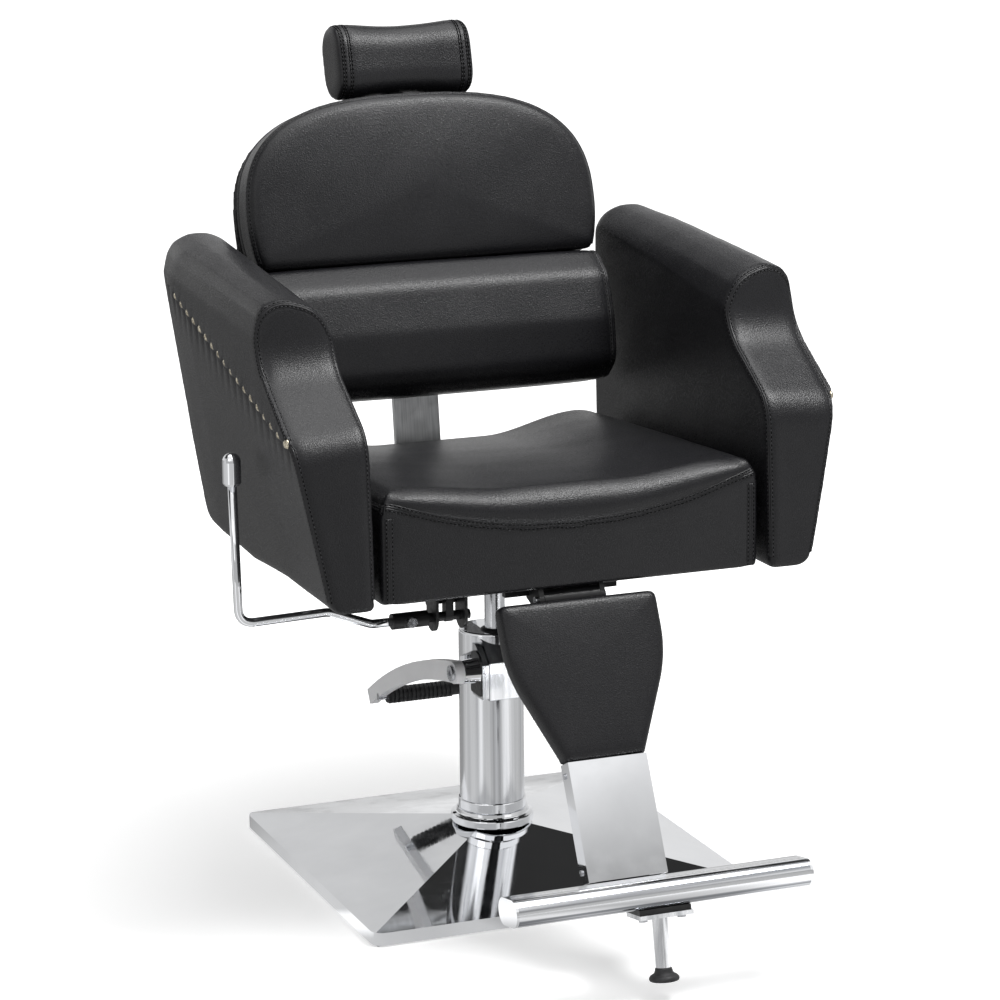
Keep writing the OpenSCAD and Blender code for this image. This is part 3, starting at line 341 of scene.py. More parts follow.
def ripple(points, size, seed):
    """Soft uneven waves of about that wavelength, between -1 and 1."""
    rng = np.random.default_rng(seed)
    total = np.zeros(len(points))
    for _ in range(6):
        way = rng.normal(size=3)
        way *= 2 * math.pi / (size * rng.uniform(0.7, 1.6) * np.linalg.norm(way))
        total += np.sin(points @ way + rng.uniform(0, 2 * math.pi))
    return total / 6


def pull_in(piece, paths, depth=1.6, width=9.0, seed=1):
    """Draws the cover in along its seams, with soft uneven fullness elsewhere."""
    def change(points, normals):
        reach = np.min([distance_to(points, even(p, 90, closed=False)) for p in paths], axis=0)
        rise = 0.45 * ripple(points, 90, seed) * step(4, 30, reach)
        move = rise - depth * np.exp(-(reach / width) ** 2)
        return points + normals * move[:, None]
    reshape(piece, change)


def on_skin(tree, point, lift):
    """The nearest place on a piece's skin, raised by lift, and the way out of it."""
    place, normal, _, _ = tree.find_nearest(Vector(point) / 1000)
    return np.array(place) * 1000 + np.array(normal) * lift, np.array(normal)


def seam(piece, name, path, spread=3.2, stitch=3.6, gap=1.6, band=True):
    """A double-stitched seam along a path on a piece: the folded edges and the stitches."""
    tree = BVHTree.FromObject(piece, bpy.context.evaluated_depsgraph_get())
    length = np.sum(np.linalg.norm(np.diff(path, axis=0), axis=1))
    line = even(path, max(int(length / 3), 8), closed=False)
    line = np.array([on_skin(tree, p, 0)[0] for p in line])
    for _ in range(3):
        line[1:-1] = (line[:-2] + line[1:-1] * 2 + line[2:]) / 4
    ways = np.gradient(line, axis=0)
    ways /= np.linalg.norm(ways, axis=1)[:, None]
    outs = np.array([on_skin(tree, p, 0)[1] for p in line])
    for _ in range(2):
        outs[1:-1] = (outs[:-2] + outs[1:-1] * 2 + outs[2:]) / 4
    sides = np.cross(outs, ways)
    sides /= np.linalg.norm(sides, axis=1)[:, None]
    bands = []
    if band:
        edge = spread + 2.4
        bands.append(("welt", black_leather, [
            (-edge, -0.6), (-edge + 0.8, 0.5), (-spread - 1, 0.8), (-spread, 0.2), (-spread + 1, 1),
            (-1.4, 1.6), (-0.5, 1.3), (0, 0.6), (0.5, 1.3), (1.4, 1.6), (spread - 1, 1), (spread, 0.2),
            (spread + 1, 0.8), (edge - 0.8, 0.5), (edge, -0.6), (0, -1.6)]))
    # A thin near-black strip along each stitch row: painted shade where the seam's groove is.
    for k, middle in enumerate((-spread, spread)):
        bands.append((f"groove_{k}", painted_seam_shade, [
            (middle - 0.9, 0.1), (middle - 0.65, 0.72), (middle + 0.65, 0.72), (middle + 0.9, 0.1),
            (middle, -0.8)]))
    for part, made, profile in bands:
        m = len(profile)
        points = []
        for p, side in zip(line, sides):
            points += [on_skin(tree, p + side * across, up)[0] for across, up in profile]
        faces = [(j * m + k, j * m + (k + 1) % m, (j + 1) * m + (k + 1) % m, (j + 1) * m + k)
                 for j in range(len(line) - 1) for k in range(m)]
        faces += [tuple(range(m - 1, -1, -1)), tuple(range((len(line) - 1) * m, len(line) * m))]
        strip = solid(f"{name}_{part}", points, faces, made)
        strip.parent = piece
    run = np.concatenate([[0], np.cumsum(np.linalg.norm(np.diff(line, axis=0), axis=1))])
    points, faces = [], []
    for offset in (-spread, spread):
        for start in np.arange(1, run[-1] - stitch, stitch + gap):
            ends = []
            for at in (start, start + stitch):
                p = np.array([np.interp(at, run, line[:, k]) for k in range(3)])
                side = np.array([np.interp(at, run, sides[:, k]) for k in range(3)])
                ends.append(on_skin(tree, p + side * offset, 0.7))
            a, b = ends[0][0], ends[1][0]
            way = (b - a) / np.linalg.norm(b - a)
            out = ends[0][1]
            across = np.cross(out, way)
            first = len(points)
            for t, r in ((0, 0.25), (0.2, 0.45), (0.8, 0.45), (1, 0.25)):
                for turn in range(6):
                    angle = turn * math.pi / 3
                    sink = -0.5 if t in (0, 1) else 0.0
                    points.append(a + way * t * np.linalg.norm(b - a)
                                  + r * (math.cos(angle) * across + math.sin(angle) * out) + out * sink)
            for j in range(3):
                for k in range(6):
                    q, s = first + j * 6 + k, first + j * 6 + (k + 1) % 6
                    faces.append((q, s, s + 6, q + 6))
            faces += [tuple(first + k for k in range(5, -1, -1)), tuple(first + 18 + k for k in range(6))]
    threads = solid(name + "_stitches", points, faces, black_thread)
    threads.parent = piece


seat_half, seat_front, seat_back = 240.5, -273, 222
seat_middle = (0, -24)


def seat_outline(inset):
    """Outline of the seat from above, drawn in by inset."""
    w, f, b = seat_half, seat_front, seat_back
    base = even(rounded([(-w, f, 9), (w, f, 9), (w, b, 24), (-w, b, 24)]), 480)
    return drawn_in(base, inset, seat_middle)


def seat_crown(x, y):
    """Height of the seat's top before its edges are rounded."""
    t = np.clip((y - seat_front) / (seat_back - seat_front), 0, 1)
    s = np.abs(x) / seat_half
    hollow = 547 - 42 * t ** 1.6
    bolster = 559 - 29 * t ** 1.1
    rise = step(0.3, 0.84, s)
    return hollow * (1 - rise) + bolster * rise - 5 * t * step(0.84, 1.0, s)


def seat_ring(inset, drop=None, height=None):
    """The outline at one height, or dropped below the crown."""
    ring = seat_outline(inset)
    z = seat_crown(ring[:, 0], ring[:, 1]) - drop if height is None else np.full(len(ring), height)
    return np.column_stack([ring, z])


border = ((90, 440), (16, 440), (16, 424), (4, 424), (1.2, 424.8), (0, 427), (-0.3, 450), (-0.5, 475),
          (-0.3, 500))
edge_in, edge_drop = 24, 30
rings = [seat_ring(inset, height=height) for inset, height in border]
rings += [seat_ring(edge_in * (1 - math.cos(a)), drop=edge_drop * (1 - math.sin(a)))
          for a in np.radians(np.linspace(0, 90, 10))]
rings += [seat_ring(i, drop=0) for i in range(38, 236, 14)]
seat = foam("seat_cushion_cover", rings, (*seat_middle, 440),
            (*seat_middle, float(seat_crown(*seat_middle))), pitch=3.0, smoothing=3)


def sag_height(x):
    """Height of the front seam, which sags between the two front corners."""
    return 499 + 47 * np.clip(np.abs(x / seat_half), 0, 1) ** 2.1


sag_x = np.linspace(-seat_half + 3, seat_half - 3, 60)
sag = np.column_stack([sag_x, np.full(60, seat_front - 2.0), sag_height(sag_x)])


def seat_front_roll(points, normals):
    """The top panel hangs over the front border, which is drawn flat below the seam."""
    seam_z = sag_height(points[:, 0])
    front = step(-seat_front - 22, -seat_front - 4, -points[:, 1])
    above = np.clip((points[:, 2] - seam_z) / 44, 0, 1)
    puff = 4.5 * np.sin(math.pi * above ** 0.75) - 1.2 * step(0, 20, seam_z - points[:, 2])
    move = puff * front * step(0, 30, seat_half - np.abs(points[:, 0]))
    return points + np.column_stack([0 * move, -move, 0 * move])


reshape(seat, seat_front_roll)
corner_in = 10
upright = [np.array([[s * (seat_half - corner_in), seat_front + 0.3, z] for z in (426, 460, 500, 528)])
           for s in (-1, 1)]
side_top = [np.array([[s * (seat_half - 1), y, float(seat_crown(s * 236, y)) - 20]
                      for y in np.linspace(seat_front + 6, seat_back - 20, 24)]) for s in (-1, 1)]
pull_in(seat, [sag] + upright + side_top, depth=1.8, seed=3)
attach(seat, "seat")
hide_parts("seat_cushion")
seam(seat, "seat_front_seam", sag)
for side, line in zip(("right", "left"), upright):
    seam(seat, f"seat_{side}_corner", line, spread=3.5)
for side, line in zip(("right", "left"), side_top):
    seam(seat, f"seat_{side}_edge", line, spread=3.5)

# ---- Arms ----
# Plywood cores in thick foam, covered on both sides and rolled over the top. A front panel
# is let in between two seams, and antique nails hold the rolled cover above a lower panel.

arm_in, arm_out, arm_top = 252, 345, 769
arm_middle = (-10, 590)
nail_first, nail_last, nail_count = (-250, 622.5), (177, 726), 18
across = [0, 0.03, 0.08, 0.15, 0.25, 0.37, 0.5, 0.63, 0.76, 0.87, 0.95, 1]
front_fall = [50, 43, 32, 20, 12, 6, 2, 0, 2, 8, 19, 45]
rear_fall = [26, 21, 15, 10, 5, 2, 1, 2, 6, 12, 24, 44]


def arm_outer(y, z):
    """Outer face of the arm: upright above the nail line, drawn in below it."""
    top = 620 + 0.243 * (y + 260)
    low = 306 - 9 * (y + 284) / 529
    out = low + (arm_out - low) * np.clip((z - 422) / (top - 422), 0, 1)
    return np.where(z > top, arm_out, out) - 5 * np.clip((y - 180) / 80, 0, 1)


def arm_ring(side, t, shrink=1.0):
    """Side outline of the arm, from its inner face at t = 0 to the outer one at t = 1."""
    e = 3.5 * abs(2 * t - 1) ** 8
    f, r = np.interp(t, across, front_fall), np.interp(t, across, rear_fall)
    outer_round = 17 * (1 - math.sqrt(1 - max(t / 0.32 - 2.125, 0) ** 2))
    b = outer_round + 7 * (1 - math.sqrt(1 - max(1 - t / 0.14, 0) ** 2))
    outline = even(rounded([
        (-284 + e, 422 + b, 8), (-279 + e, 520, 0), (-271 + e, 624 - 8 * t, 56),
        (-158 + e, 694 - 4 * t, 80),
        (-152 + 10 * t + e, arm_top - f, 9), (-20, arm_top + 9 - (f * 2 + r) / 3, 0),
        (115, arm_top + 18 - (f + r * 2) / 3, 0), (258 - e, arm_top + 26 - r, 18), (258 - e, 600, 0),
        (249 - e, 416 + b, 22), (150, 415 + b, 0), (45, 412 + b, 0), (-90, 421 + b, 0)]), 420)
    outline = np.array(arm_middle) + (outline - arm_middle) * shrink
    x = arm_in + t * (arm_outer(outline[:, 0], outline[:, 1]) - arm_in)
    return np.column_stack([side * x, outline])


def arm_folds(side):
    """The rolled cover hangs over the nails in small bulges, with a gather below each nail."""
    line = np.array(nail_last, float) - nail_first
    span = np.linalg.norm(line)
    line /= span
    up = np.array([-line[1], line[0]])

    def change(points, normals):
        outer = step(0.3, 0.8, normals[:, 0] * side)
        rel = points[:, 1:] - nail_first
        along, above = rel @ line, rel @ up
        pitch = span / (nail_count - 1)
        phase = along / pitch
        near = np.abs(phase - np.round(phase)) * pitch
        hem = 2.4 * np.cos(phase * 2 * math.pi) - 0.5
        proud = 4.6 * step(-1.4 + hem, 1.4 + hem, above) * (1 - 0.6 * step(0, 70, above))
        below = np.maximum(hem - above, 0)
        dent = 3.8 * np.exp(-(near / (2.6 + 0.1 * below)) ** 2) * np.exp(-(below / 24) ** 1.5)
        puff = 1.3 * (near / pitch * 2) ** 2 * np.exp(-((below - 6) / 9) ** 2)
        pinch = 0.9 * np.exp(-(near / 3) ** 2) * np.exp(-np.abs(above) / 9)
        fold = (puff - dent) * step(0, 2, below) - pinch
        ends = step(-12, 2, along) * step(-70, -5, span - along + 12)
        return points + normals * ((proud + fold) * outer * ends)[:, None]
    return change


def front_edge(side, t):
    """The front panel's edge from the bottom up to the arch, t across the arm."""
    ring = arm_ring(side, t)
    first = int(np.argmax((ring[:, 2] > 436) & (ring[:, 1] < -200)))
    ring = np.roll(ring, -first, 0)
    last = int(np.argmax((ring[:, 1] > -152 + 10 * t) & (ring[:, 2] > 700)))
    return even(ring[:last], 60, closed=False)


steps_across = [0, 0.006, 0.015, 0.03, 0.055, 0.09, 0.14, 0.2, 0.28, 0.37, 0.46, 0.54, 0.63, 0.72, 0.8,
                0.86, 0.91, 0.945, 0.97, 0.985, 0.994, 1]
for side, hand in ((1, "left"), (-1, "right")):
    rings = [arm_ring(side, 0, s) for s in (0.3, 0.6, 0.85)] + [arm_ring(side, t) for t in steps_across]
    rings += [arm_ring(side, 1, s) for s in (0.85, 0.6, 0.3)]
    arm = foam(f"arm_{hand}_cover", rings, (side * arm_in, *arm_middle),
               (side * float(arm_outer(*arm_middle)), *arm_middle), pitch=2.7, smoothing=4)
    reshape(arm, arm_folds(side))
    t = np.linspace(0.02, 0.98, 26)
    arch = np.column_stack([side * (arm_in + t * (arm_out - arm_in)), -150 + 10 * t,
                            arm_top - 4 - np.interp(t, across, front_fall)])
    edge = np.vstack([front_edge(side, 0.01), arch, front_edge(side, 0.99)[::-1]])
    pull_in(arm, [edge], depth=1.2, width=6, seed=10 + side)
    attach(arm, "seat")
    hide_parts(f"arm_{hand}_pad")
    seam(arm, f"arm_{hand}_seam", edge)

aged_brass = finish("aged_brass", (0.3, 0.27, 0.2), 0.3, metallic=1.0)
tint(aged_brass, clouds(aged_brass, 420), (0.3, 0.26, 0.19), (0.82, 0.75, 0.6), 0.4, 0.6)
drive(aged_brass, "Roughness", clouds(aged_brass, 900), 0.2, 0.42)
relief(aged_brass, clouds(aged_brass, 700), 0.0003)
profile = [(0, 4.2), (1.6, 4.0), (3.2, 3.4), (4.5, 2.4), (5.4, 1.2), (5.8, 0.4), (5.9, 0), (5.5, -1.2)]
nail_turns = 20
points, faces = [], []
for side in (1, -1):
    for k in range(nail_count):
        at = np.array(nail_first) + (np.array(nail_last) - nail_first) * k / (nail_count - 1)
        start = len(points)
        points.append((side * (arm_out + profile[0][1]), *at))
        for radius, height in profile[1:]:
            for turn in range(nail_turns):
                a = turn * 2 * math.pi / nail_turns
                points.append((side * (arm_out + height),
                               at[0] + radius * math.cos(a), at[1] + radius * math.sin(a)))
        rim = [[start + 1 + j * nail_turns + q % nail_turns for q in range(nail_turns + 1)]
               for j in range(len(profile) - 1)]
        for q in range(nail_turns):
            tri = (start, rim[0][q], rim[0][q + 1])
            faces.append(tri if side > 0 else tri[::-1])
            for low, high in zip(rim[:-1], rim[1:]):
                quad = (low[q], high[q], high[q + 1], low[q + 1])
                faces.append(quad if side > 0 else quad[::-1])
        back = tuple(rim[-1][:nail_turns])
        faces.append(back[::-1] if side > 0 else back)
nails = solid("nail_heads", points, faces, aged_brass)
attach(nails, "seat")
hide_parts("nailheads")

# ---- Back ----
# A flat brushed steel bar rises from the recline barrel to a plywood board. A domed cushion
# and a fuller lumbar roll are bolted to it, and a thinner padded cover closes the rear.

brushed_steel = finish("brushed_steel", (0.68, 0.69, 0.7), 0.34, metallic=1.0)
grainy = clouds(brushed_steel, 500, stretch=(1, 0.03, 0.03))
tint(brushed_steel, grainy, (0.58, 0.59, 0.6), (0.74, 0.75, 0.76))
drive(brushed_steel, "Roughness", clouds(brushed_steel, 60), 0.3, 0.42)
relief(brushed_steel, grainy, 0.00004)
dress(brushed_steel, "back_bar", "headrest_bar")

back_half_width, back_rise, back_high, back_fullness = 238, 60, 216, 2.75
back_foot, back_tilt = (190, 748), 15


def tilted(points, foot, angle):
    """Points of a tilted frame (across, through, along) set in the chair's own frame."""
    points = np.asarray(points, float)
    c, s = math.cos(math.radians(angle)), math.sin(math.radians(angle))
    return np.column_stack([points[:, 0], foot[0] + points[:, 1] * c + points[:, 2] * s,
                            foot[1] - points[:, 1] * s + points[:, 2] * c])


def in_back(points):
    """Points of the back's own frame set in the chair's."""
    return tilted(points, back_foot, back_tilt)


def back_half(z):
    """Half the width of the upper cushion at that height."""
    if z <= back_rise:
        return back_half_width - 9 * ((back_rise - z) / back_rise) ** 1.5
    up = (z - back_rise) / (back_high - back_rise)
    return back_half_width * max(1 - up ** back_fullness, 0) ** (1 / back_fullness)


def back_outline(low):
    """Outline of the back: a full dome over upright sides, and small lower corners."""
    dome = []
    for k in range(61):
        a = math.radians(1.5 * k)
        z = back_rise + (back_high - back_rise) * math.sin(a) ** 0.9
        dome.append((back_half(z), z))
    w = back_half(max(low, 0))
    upright = [(back_half(z), z) for z in range(int(low) + 20, back_rise, 12) if z > 0]
    right = [(w - 5, low), (w - 1.5, low + 1.5), (w, low + 5)] + upright + dome
    left = [(-x, z) for x, z in right[::-1]]
    return even(right + left[1:], 300)


back_rim, back_centre = back_outline(-1), (0, 95)
rings = []
for inset, y in ((5, 66), (2, 63.5), (0.6, 59), (0, 51), (1.2, 42), (1.8, 33), (1.2, 24), (0, 16),
                 (0.5, 12.5), (2, 9), (4.5, 6), (8, 3.6), (13, 1.8), (20, 0.4), (30, -0.9), (42, -2.1),
                 (56, -3.2), (72, -4.1), (86, -4.7)):
    ring = drawn_in(back_rim, inset, back_centre)
    rings.append(in_back(np.column_stack([ring[:, 0], np.full(len(ring), y), ring[:, 1]])))
tips = in_back([(0, 66, 95), (0, -5, 95)])
upper = foam("upper_cushion_cover", rings, tips[0], tips[1], pitch=3.4, smoothing=12)


def round_dome(y, inset, low=4):
    """A seam's path round the dome, y behind the cushion's front, from low upwards."""
    ring = drawn_in(back_rim, inset, back_centre)
    start = int(np.argmin(np.abs(ring[:, 0]) + (ring[:, 1] > back_rise) * 999))
    ring = np.roll(ring, -start, 0)
    ring = np.vstack([ring, ring[:1]])
    keep = ring[ring[:, 1] > low]
    return in_back(np.column_stack([keep[:, 0], np.full(len(keep), y), keep[:, 1]]))


dome_front, dome_rear = round_dome(13, 0.3), round_dome(56, 0.2)
pull_in(upper, [dome_front, dome_rear], depth=1.6, seed=21)
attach(upper, "backrest")
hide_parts("upper_cushion")
seam(upper, "upper_front_seam", dome_front)
seam(upper, "upper_rear_seam", dome_rear, spread=3.5)

section = rounded([(66, -2, 8), (8, -2, 14), (-20, -34, 34), (-27, -95, 50), (-20, -153, 34),
                   (14, -171, 22), (66, -171, 10)], 14)
section = even(section, 200)
lumbar_middle, lumbar_reach = np.array([16, -84.5]), 85
lumbar_half, lumbar_seam = 235, 229


def stations(ends, middle):
    """Places across a piece and the insets there: one half from its end inwards, and the middle."""
    return [(-place, inset) for place, inset in ends] + [(0, middle)] + ends[::-1]


rings = []
lumbar_ends = [(1, 26), (0.999, 12), (0.995, 6), (0.988, 3), (0.978, 1.2), (0.955, 0.2), (0.9, -0.1),
               (0.75, -0.6), (0.5, -1), (0.25, -1.3)]
for s, inset in stations(lumbar_ends, -1.5):
    ring = lumbar_middle + (section - lumbar_middle) * (1 - inset / lumbar_reach)
    through = np.minimum(ring[:, 0], 66)
    rings.append(in_back(np.column_stack([np.full(len(ring), s * lumbar_half), through, ring[:, 1]])))
tips = in_back([(-lumbar_half, 16, -84), (lumbar_half, 16, -84)])
lumbar = foam("lumbar_cushion_cover", rings, tips[0], tips[1], pitch=3.4, smoothing=4)
ends = []
for s in (-1, 1):
    ring = lumbar_middle + (section - lumbar_middle) * (1 - 1.5 / lumbar_reach)
    ring = np.roll(ring, -int(np.argmax(ring[:, 0] - abs(ring[:, 1] + 84) * 0.01)), 0)
    ring = ring[ring[:, 0] < 60]
    ends.append(in_back(np.column_stack([np.full(len(ring), s * lumbar_seam), ring])))
pull_in(lumbar, ends, depth=1.6, seed=24)
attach(lumbar, "backrest")
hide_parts("lumbar_cushion")
seam(lumbar, "lumbar_right_seam", ends[0], spread=3.5)
seam(lumbar, "lumbar_left_seam", ends[1], spread=3.5)


def from_solid(name, node, pitch, smoothing):
    """A soft piece that takes the form of its solid, evened and rounded."""
    piece = bpy.data.objects.new(name, nodes[node].data.copy())
    bpy.context.scene.collection.objects.link(piece)
    piece.data.materials.clear()
    piece.data.materials.append(black_leather)
    return even_skin(piece, pitch, smoothing)


rear = from_solid("back_rear_cover", "back_cover", pitch=3.2, smoothing=4)
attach(rear, "backrest")
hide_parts("back_cover")

# ---- Headrest ----
# A neck pillow of soft foam on a flat bar that slides in a socket on the back board. Its
# cover is slimmer in the middle and has flat oval end panels behind gathered bands.

head_w, head_d, head_h, head_z, head_back = 93, 64, 98, 265, 83.4
pillow = even(rounded([(0, -49, 30), (-64, -49, 34), (-64, 49, 38), (0, 49, 30)], 14), 160)
rings = []
pillow_ends = [(1, 16), (0.995, 9), (0.98, 4.5), (0.955, 1.8), (0.92, 0.4), (0.85, 0), (0.75, 0.5),
               (0.6, 1.6), (0.45, 2.9), (0.3, 4), (0.15, 4.7)]
for s, inset in stations(pillow_ends, 5):
    y = head_back + np.minimum(pillow[:, 0] + np.maximum(inset * (-pillow[:, 0] / head_d), 0), 0)
    z = head_z + pillow[:, 1] * (1 - inset * 2 / head_h)
    rings.append(in_back(np.column_stack([np.full(len(pillow), s * head_w), y, z])))
tips = in_back([(-head_w, 52, head_z), (head_w, 52, head_z)])
headrest = foam("headrest_cover", rings, tips[0], tips[1], pitch=3.0, smoothing=5)
bands = []
for s in (-1, 1):
    for inset, x in ((0.6, 85.5), (0, 76)):
        ring = np.column_stack([np.full(len(pillow), s * x), head_back + pillow[:, 0],
                                head_z + pillow[:, 1] * (1 - inset * 2 / head_h)])
        ring = np.roll(ring, -int(np.argmax(ring[:, 1])), 0)
        bands.append(in_back(ring[ring[:, 1] < 81]))
pull_in(headrest, bands, depth=1.3, width=4, seed=31)
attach(headrest, "headrest")
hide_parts("headrest_pad")
for k, band in enumerate(bands):
    seam(headrest, f"headrest_seam_{k}", band, spread=1.6, band=False)

black_plastic = finish("black_plastic", (0.016, 0.016, 0.017), 0.4)
tint(black_plastic, clouds(black_plastic, 60), (0.011, 0.011, 0.012), (0.022, 0.022, 0.023))
relief(black_plastic, clouds(black_plastic, 1200), 0.0001)
dress(black_plastic, "headrest_knob", "lever_coupling")

# ---- Leg rest ----
# A vase-shaped calf pad on a plywood board, with a folded chrome channel round the board's
# lower half. The flat arm behind it carries the grooved foot bar and the adjustable leg.

leg_top, leg_tilt = (-285, 415), 26
hinge_at, hinge_clear, hinge_half = (-258, 408), 15, 51


def in_leg(points):
    """Points of the calf pad's own frame, below the hinge, set in the chair's."""
    return tilted(points, leg_top, leg_tilt)


vase = even(rounded([(-101, 0, 10), (101, 0, 10), (101, -78, 165), (53, -187, 20), (51, -193, 2),
                     (-51, -193, 2), (-53, -187, 20), (-101, -78, 165)], 14), 260)
rings = []
for inset, y in ((60, 12), (11.5, 12), (11.5, 24), (3.5, 24), (1, 23), (0, 20), (0, 9), (0.5, 6),
                 (1.6, 3.4), (3.4, 1.4), (6, 0), (10, -0.7), (16, -1.3), (24, -1.8), (34, -2.2),
                 (46, -2.5), (60, -2.7)):
    ring = drawn_in(vase, inset, (0, -85), soft=12)
    rings.append(in_leg(np.column_stack([ring[:, 0], np.full(len(ring), y), ring[:, 1]])))
tips = in_leg([(0, 12, -85), (0, -2.8, -85)])
calf = foam("calf_pad_cover", rings, tips[0], tips[1], pitch=3.0, smoothing=4)


def hinge_room(points, normals):
    """The pad's rear edge is cut back round the hinge."""
    rel = points[:, 1:] - hinge_at
    reach = np.linalg.norm(rel, axis=1)
    inside = (np.abs(points[:, 0]) < hinge_half) & (reach < hinge_clear)
    out = points.copy()
    out[inside, 1:] = np.array(hinge_at) + rel[inside] / reach[inside, None] * hinge_clear
    return out


reshape(calf, hinge_room)
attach(calf, "legrest")
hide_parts("calf_pad")

drawn_bar = finish("drawn_bar", (0.7, 0.71, 0.73), 0.12, metallic=1.0)
# Dark and light lines along the bar in its colour: painted reflection lines.
painted_reflection_lines = clouds(drawn_bar, 110, stretch=(0.01, 1, 1))
tint(drawn_bar, painted_reflection_lines, (0.3, 0.31, 0.33), (0.92, 0.93, 0.95), 0.38, 0.58)
drive(drawn_bar, "Roughness", clouds(drawn_bar, 30, stretch=(0.05, 1, 1)), 0.06, 0.18)
dress(drawn_bar, "foot_bar")
dress(mirror_chrome, "foot_channel", "lever_tip", "foot_end_caps")
dress(drawn_chrome, "support_leg")

# ---- Release lever ----
# A bent chromed rod on the seat's right side, clamped in a black coupling on the release
# shaft, with a rounded metal tip. Pulling it lets the gas spring move.

corners = [(-136, 345, 0), (-180, 345, 20), (-236, 366, 20), (-349, 363, 20), (-353, 540, 0)]
lever_y, rod_radius, rod_turns = -60, 5.5, 28
route = rounded(corners)
points, faces = [], []
for k, p in enumerate(route):
    way = route[min(k + 1, len(route) - 1)] - route[max(k - 1, 0)]
    way = way / np.linalg.norm(way)
    for turn in range(rod_turns):
        a = turn * 2 * math.pi / rod_turns
        aside = rod_radius * math.cos(a)
        points.append((p[0] - way[1] * aside, lever_y + rod_radius * math.sin(a), p[1] + way[0] * aside))
for first in range(0, (len(route) - 1) * rod_turns, rod_turns):
    for q in range(rod_turns):
        here, beside = first + q, first + (q + 1) % rod_turns
        faces.append((here, beside, beside + rod_turns, here + rod_turns))
faces += [tuple(range(rod_turns - 1, -1, -1)), tuple(range(len(points) - rod_turns, len(points)))]
rod = solid("lever_bent_rod", points, faces, mirror_chrome)
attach(rod, "release_lever")
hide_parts("lever_rod")

# ---- Studio ----
# A white floor under a broad overhead light. Reflections see a bright front, a pale horizon
# and a dark flag above it behind the chair. A long lens stands in front, on the sitter's right.


def ramp(tree, value, stops):
    """A grey ramp through (place, level) stops."""
    made = tree.nodes.new("ShaderNodeValToRGB")
    for k, (at, level) in enumerate(stops):
        stop = made.color_ramp.elements[k] if k < 2 else made.color_ramp.elements.new(at)
        stop.position = at
        stop.color = (level, level, level, 1)
    tree.links.new(value, made.inputs["Fac"])
    return made.outputs["Color"]


def studio_paper(name):
    """Paper to the light and white to the camera. Reflections see it grey with white strips."""
    made = bpy.data.materials.new(name)
    made.use_nodes = True
    tree = made.node_tree
    shader = tree.nodes["Principled BSDF"]
    shader.inputs["Base Color"].default_value = (0.8, 0.8, 0.8, 1)
    shader.inputs["Roughness"].default_value = 1
    shader.inputs["Specular IOR Level"].default_value = 0
    path = tree.nodes.new("ShaderNodeLightPath")
    lift = tree.nodes.new("ShaderNodeMath")
    lift.operation = "MULTIPLY"
    tree.links.new(path.outputs["Is Camera Ray"], lift.inputs[0])
    tree.links.new(lift.outputs[0], shader.inputs["Emission Strength"])
    shader.inputs["Emission Color"].default_value = (1, 1, 1, 1)
    place = tree.nodes.new("ShaderNodeNewGeometry")
    far = tree.nodes.new("ShaderNodeVectorMath")
    far.operation = "LENGTH"
    tree.links.new(place.outputs["Position"], far.inputs[0])
    fade = tree.nodes.new("ShaderNodeMapRange")
    fade.inputs["From Min"].default_value = 0.35
    fade.inputs["From Max"].default_value = 1.3
    fade.inputs["To Min"].default_value = 0.45
    fade.inputs["To Max"].default_value = 1
    tree.links.new(far.outputs["Value"], fade.inputs["Value"])
    tree.links.new(fade.outputs["Result"], lift.inputs[1])
    turn = tree.nodes.new("ShaderNodeTexGradient")
    turn.gradient_type = "RADIAL"
    tree.links.new(place.outputs["Position"], turn.inputs["Vector"])
    strips = ramp(tree, turn.outputs["Fac"], [
        (0, 0.55), (1, 0.55), (0.06, 0.58), (0.07, 0.95), (0.095, 1), (0.11, 0.55), (0.16, 0.5),
        (0.195, 0.52), (0.21, 0.4), (0.235, 0.72), (0.262, 0.4), (0.29, 0.6), (0.305, 1),
        (0.35, 1), (0.37, 0.6), (0.42, 0.52), (0.465, 0.42), (0.545, 0.5), (0.72, 0.44), (0.78, 0.24),
        (0.85, 0.26), (0.914, 0.5)])
    glow = tree.nodes.new("ShaderNodeEmission")
    glow.inputs["Strength"].default_value = 1.2
    tree.links.new(strips, glow.inputs["Color"])
    either = tree.nodes.new("ShaderNodeMixShader")
    tree.links.new(path.outputs["Is Glossy Ray"], either.inputs[0])
    tree.links.new(shader.outputs[0], either.inputs[1])
    tree.links.new(glow.outputs[0], either.inputs[2])
    tree.links.new(either.outputs[0], tree.nodes["Material Output"].inputs["Surface"])
    return made


floor_mesh = bpy.data.meshes.new("studio_floor")
floor_mesh.from_pydata([(-30, -30, 0), (30, -30, 0), (30, 30, 0), (-30, 30, 0)], [], [(0, 1, 2, 3)])
floor_mesh.materials.append(studio_paper("studio_paper"))
floor = bpy.data.objects.new("studio_floor", floor_mesh)
bpy.context.scene.collection.objects.link(floor)

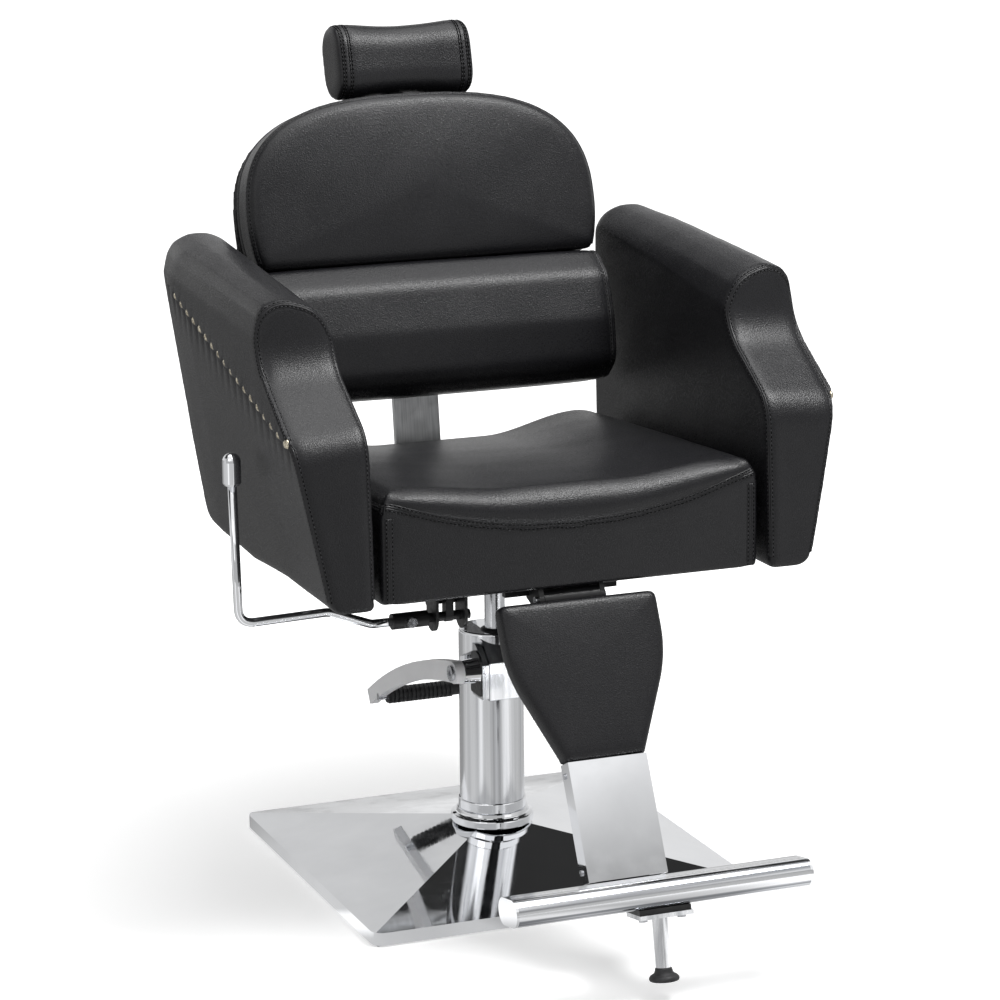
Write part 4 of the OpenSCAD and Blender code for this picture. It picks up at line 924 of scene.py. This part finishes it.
world = bpy.data.worlds.new("studio")
bpy.context.scene.world = world
world.use_nodes = True
tree = world.node_tree
sky = tree.nodes["Background"]
way = tree.nodes.new("ShaderNodeTexCoord")
parts = tree.nodes.new("ShaderNodeSeparateXYZ")
tree.links.new(way.outputs["Generated"], parts.inputs[0])
front = ramp(tree, parts.outputs["Z"], [(0, 0.5), (1, 1), (0.25, 0.5), (0.48, 0.42), (0.506, 1)])
rear = ramp(tree, parts.outputs["Z"], [
    (0, 0.85), (1, 1), (0.2, 0.8), (0.32, 0.68), (0.44, 0.62), (0.48, 0.5), (0.52, 0.03),
    (0.76, 0.03), (0.88, 0.9)])
behind = tree.nodes.new("ShaderNodeMapRange")
behind.inputs["From Min"].default_value = -0.05
behind.inputs["From Max"].default_value = 0.2
tree.links.new(parts.outputs["Y"], behind.inputs["Value"])
path = tree.nodes.new("ShaderNodeLightPath")
room_level = 0.38
for factor, near, far in (
        (behind.outputs["Result"], front, rear),
        (path.outputs["Is Glossy Ray"], room_level, None),
        (path.outputs["Is Camera Ray"], None, 1.0)):
    mixed = tree.nodes.new("ShaderNodeMix")
    tree.links.new(factor, mixed.inputs["Factor"])
    for value, socket in ((near, "A"), (far, "B")):
        if isinstance(value, float):
            mixed.inputs[socket].default_value = value
        else:
            tree.links.new(last if value is None else value, mixed.inputs[socket])
    last = mixed.outputs["Result"]
tree.links.new(last, sky.inputs["Strength"])
sky.inputs["Color"].default_value = (1, 1, 1, 1)


def softbox(name, place, aim, width, height, power):
    """A rectangular soft lamp turned towards a point."""
    lamp = bpy.data.lights.new(name, "AREA")
    lamp.shape = "RECTANGLE"
    lamp.size = width
    lamp.size_y = height
    lamp.energy = power
    held = bpy.data.objects.new(name, lamp)
    held.location = place
    held.rotation_euler = (Vector(aim) - Vector(place)).to_track_quat("-Z", "Y").to_euler()
    bpy.context.scene.collection.objects.link(held)


softbox("overhead", (0.2, 0.1, 3.4), (0, 0, 0.4), 2.6, 2.6, 50)
softbox("front_left", (-3.0, -2.6, 2.6), (0, 0, 0.5), 1.6, 2.2, 9)
softbox("key", (0.9, -0.9, 2.7), (0, 0, 0.6), 1.0, 0.8, 48)

camera_at = (-1.551, -3.961, 1.467)
yaw, pitch, roll = math.radians(21.56), math.radians(13.18), math.radians(-0.49)
ahead = Vector((math.sin(yaw) * math.cos(pitch), math.cos(yaw) * math.cos(pitch), -math.sin(pitch)))
right = Vector((math.cos(yaw), -math.sin(yaw), 0))
up = right.cross(ahead)
right, up = (right * math.cos(roll) + up * math.sin(roll), up * math.cos(roll) - right * math.sin(roll))
lens = bpy.data.cameras.new("camera")
lens.lens = 126.0
lens.sensor_width = 36
camera = bpy.data.objects.new("camera", lens)
camera.matrix_world = Matrix((
    (right.x, up.x, -ahead.x, camera_at[0]),
    (right.y, up.y, -ahead.y, camera_at[1]),
    (right.z, up.z, -ahead.z, camera_at[2]),
    (0, 0, 0, 1)))
bpy.context.scene.collection.objects.link(camera)
bpy.context.scene.camera = camera
bpy.context.scene.view_settings.view_transform = "Standard"
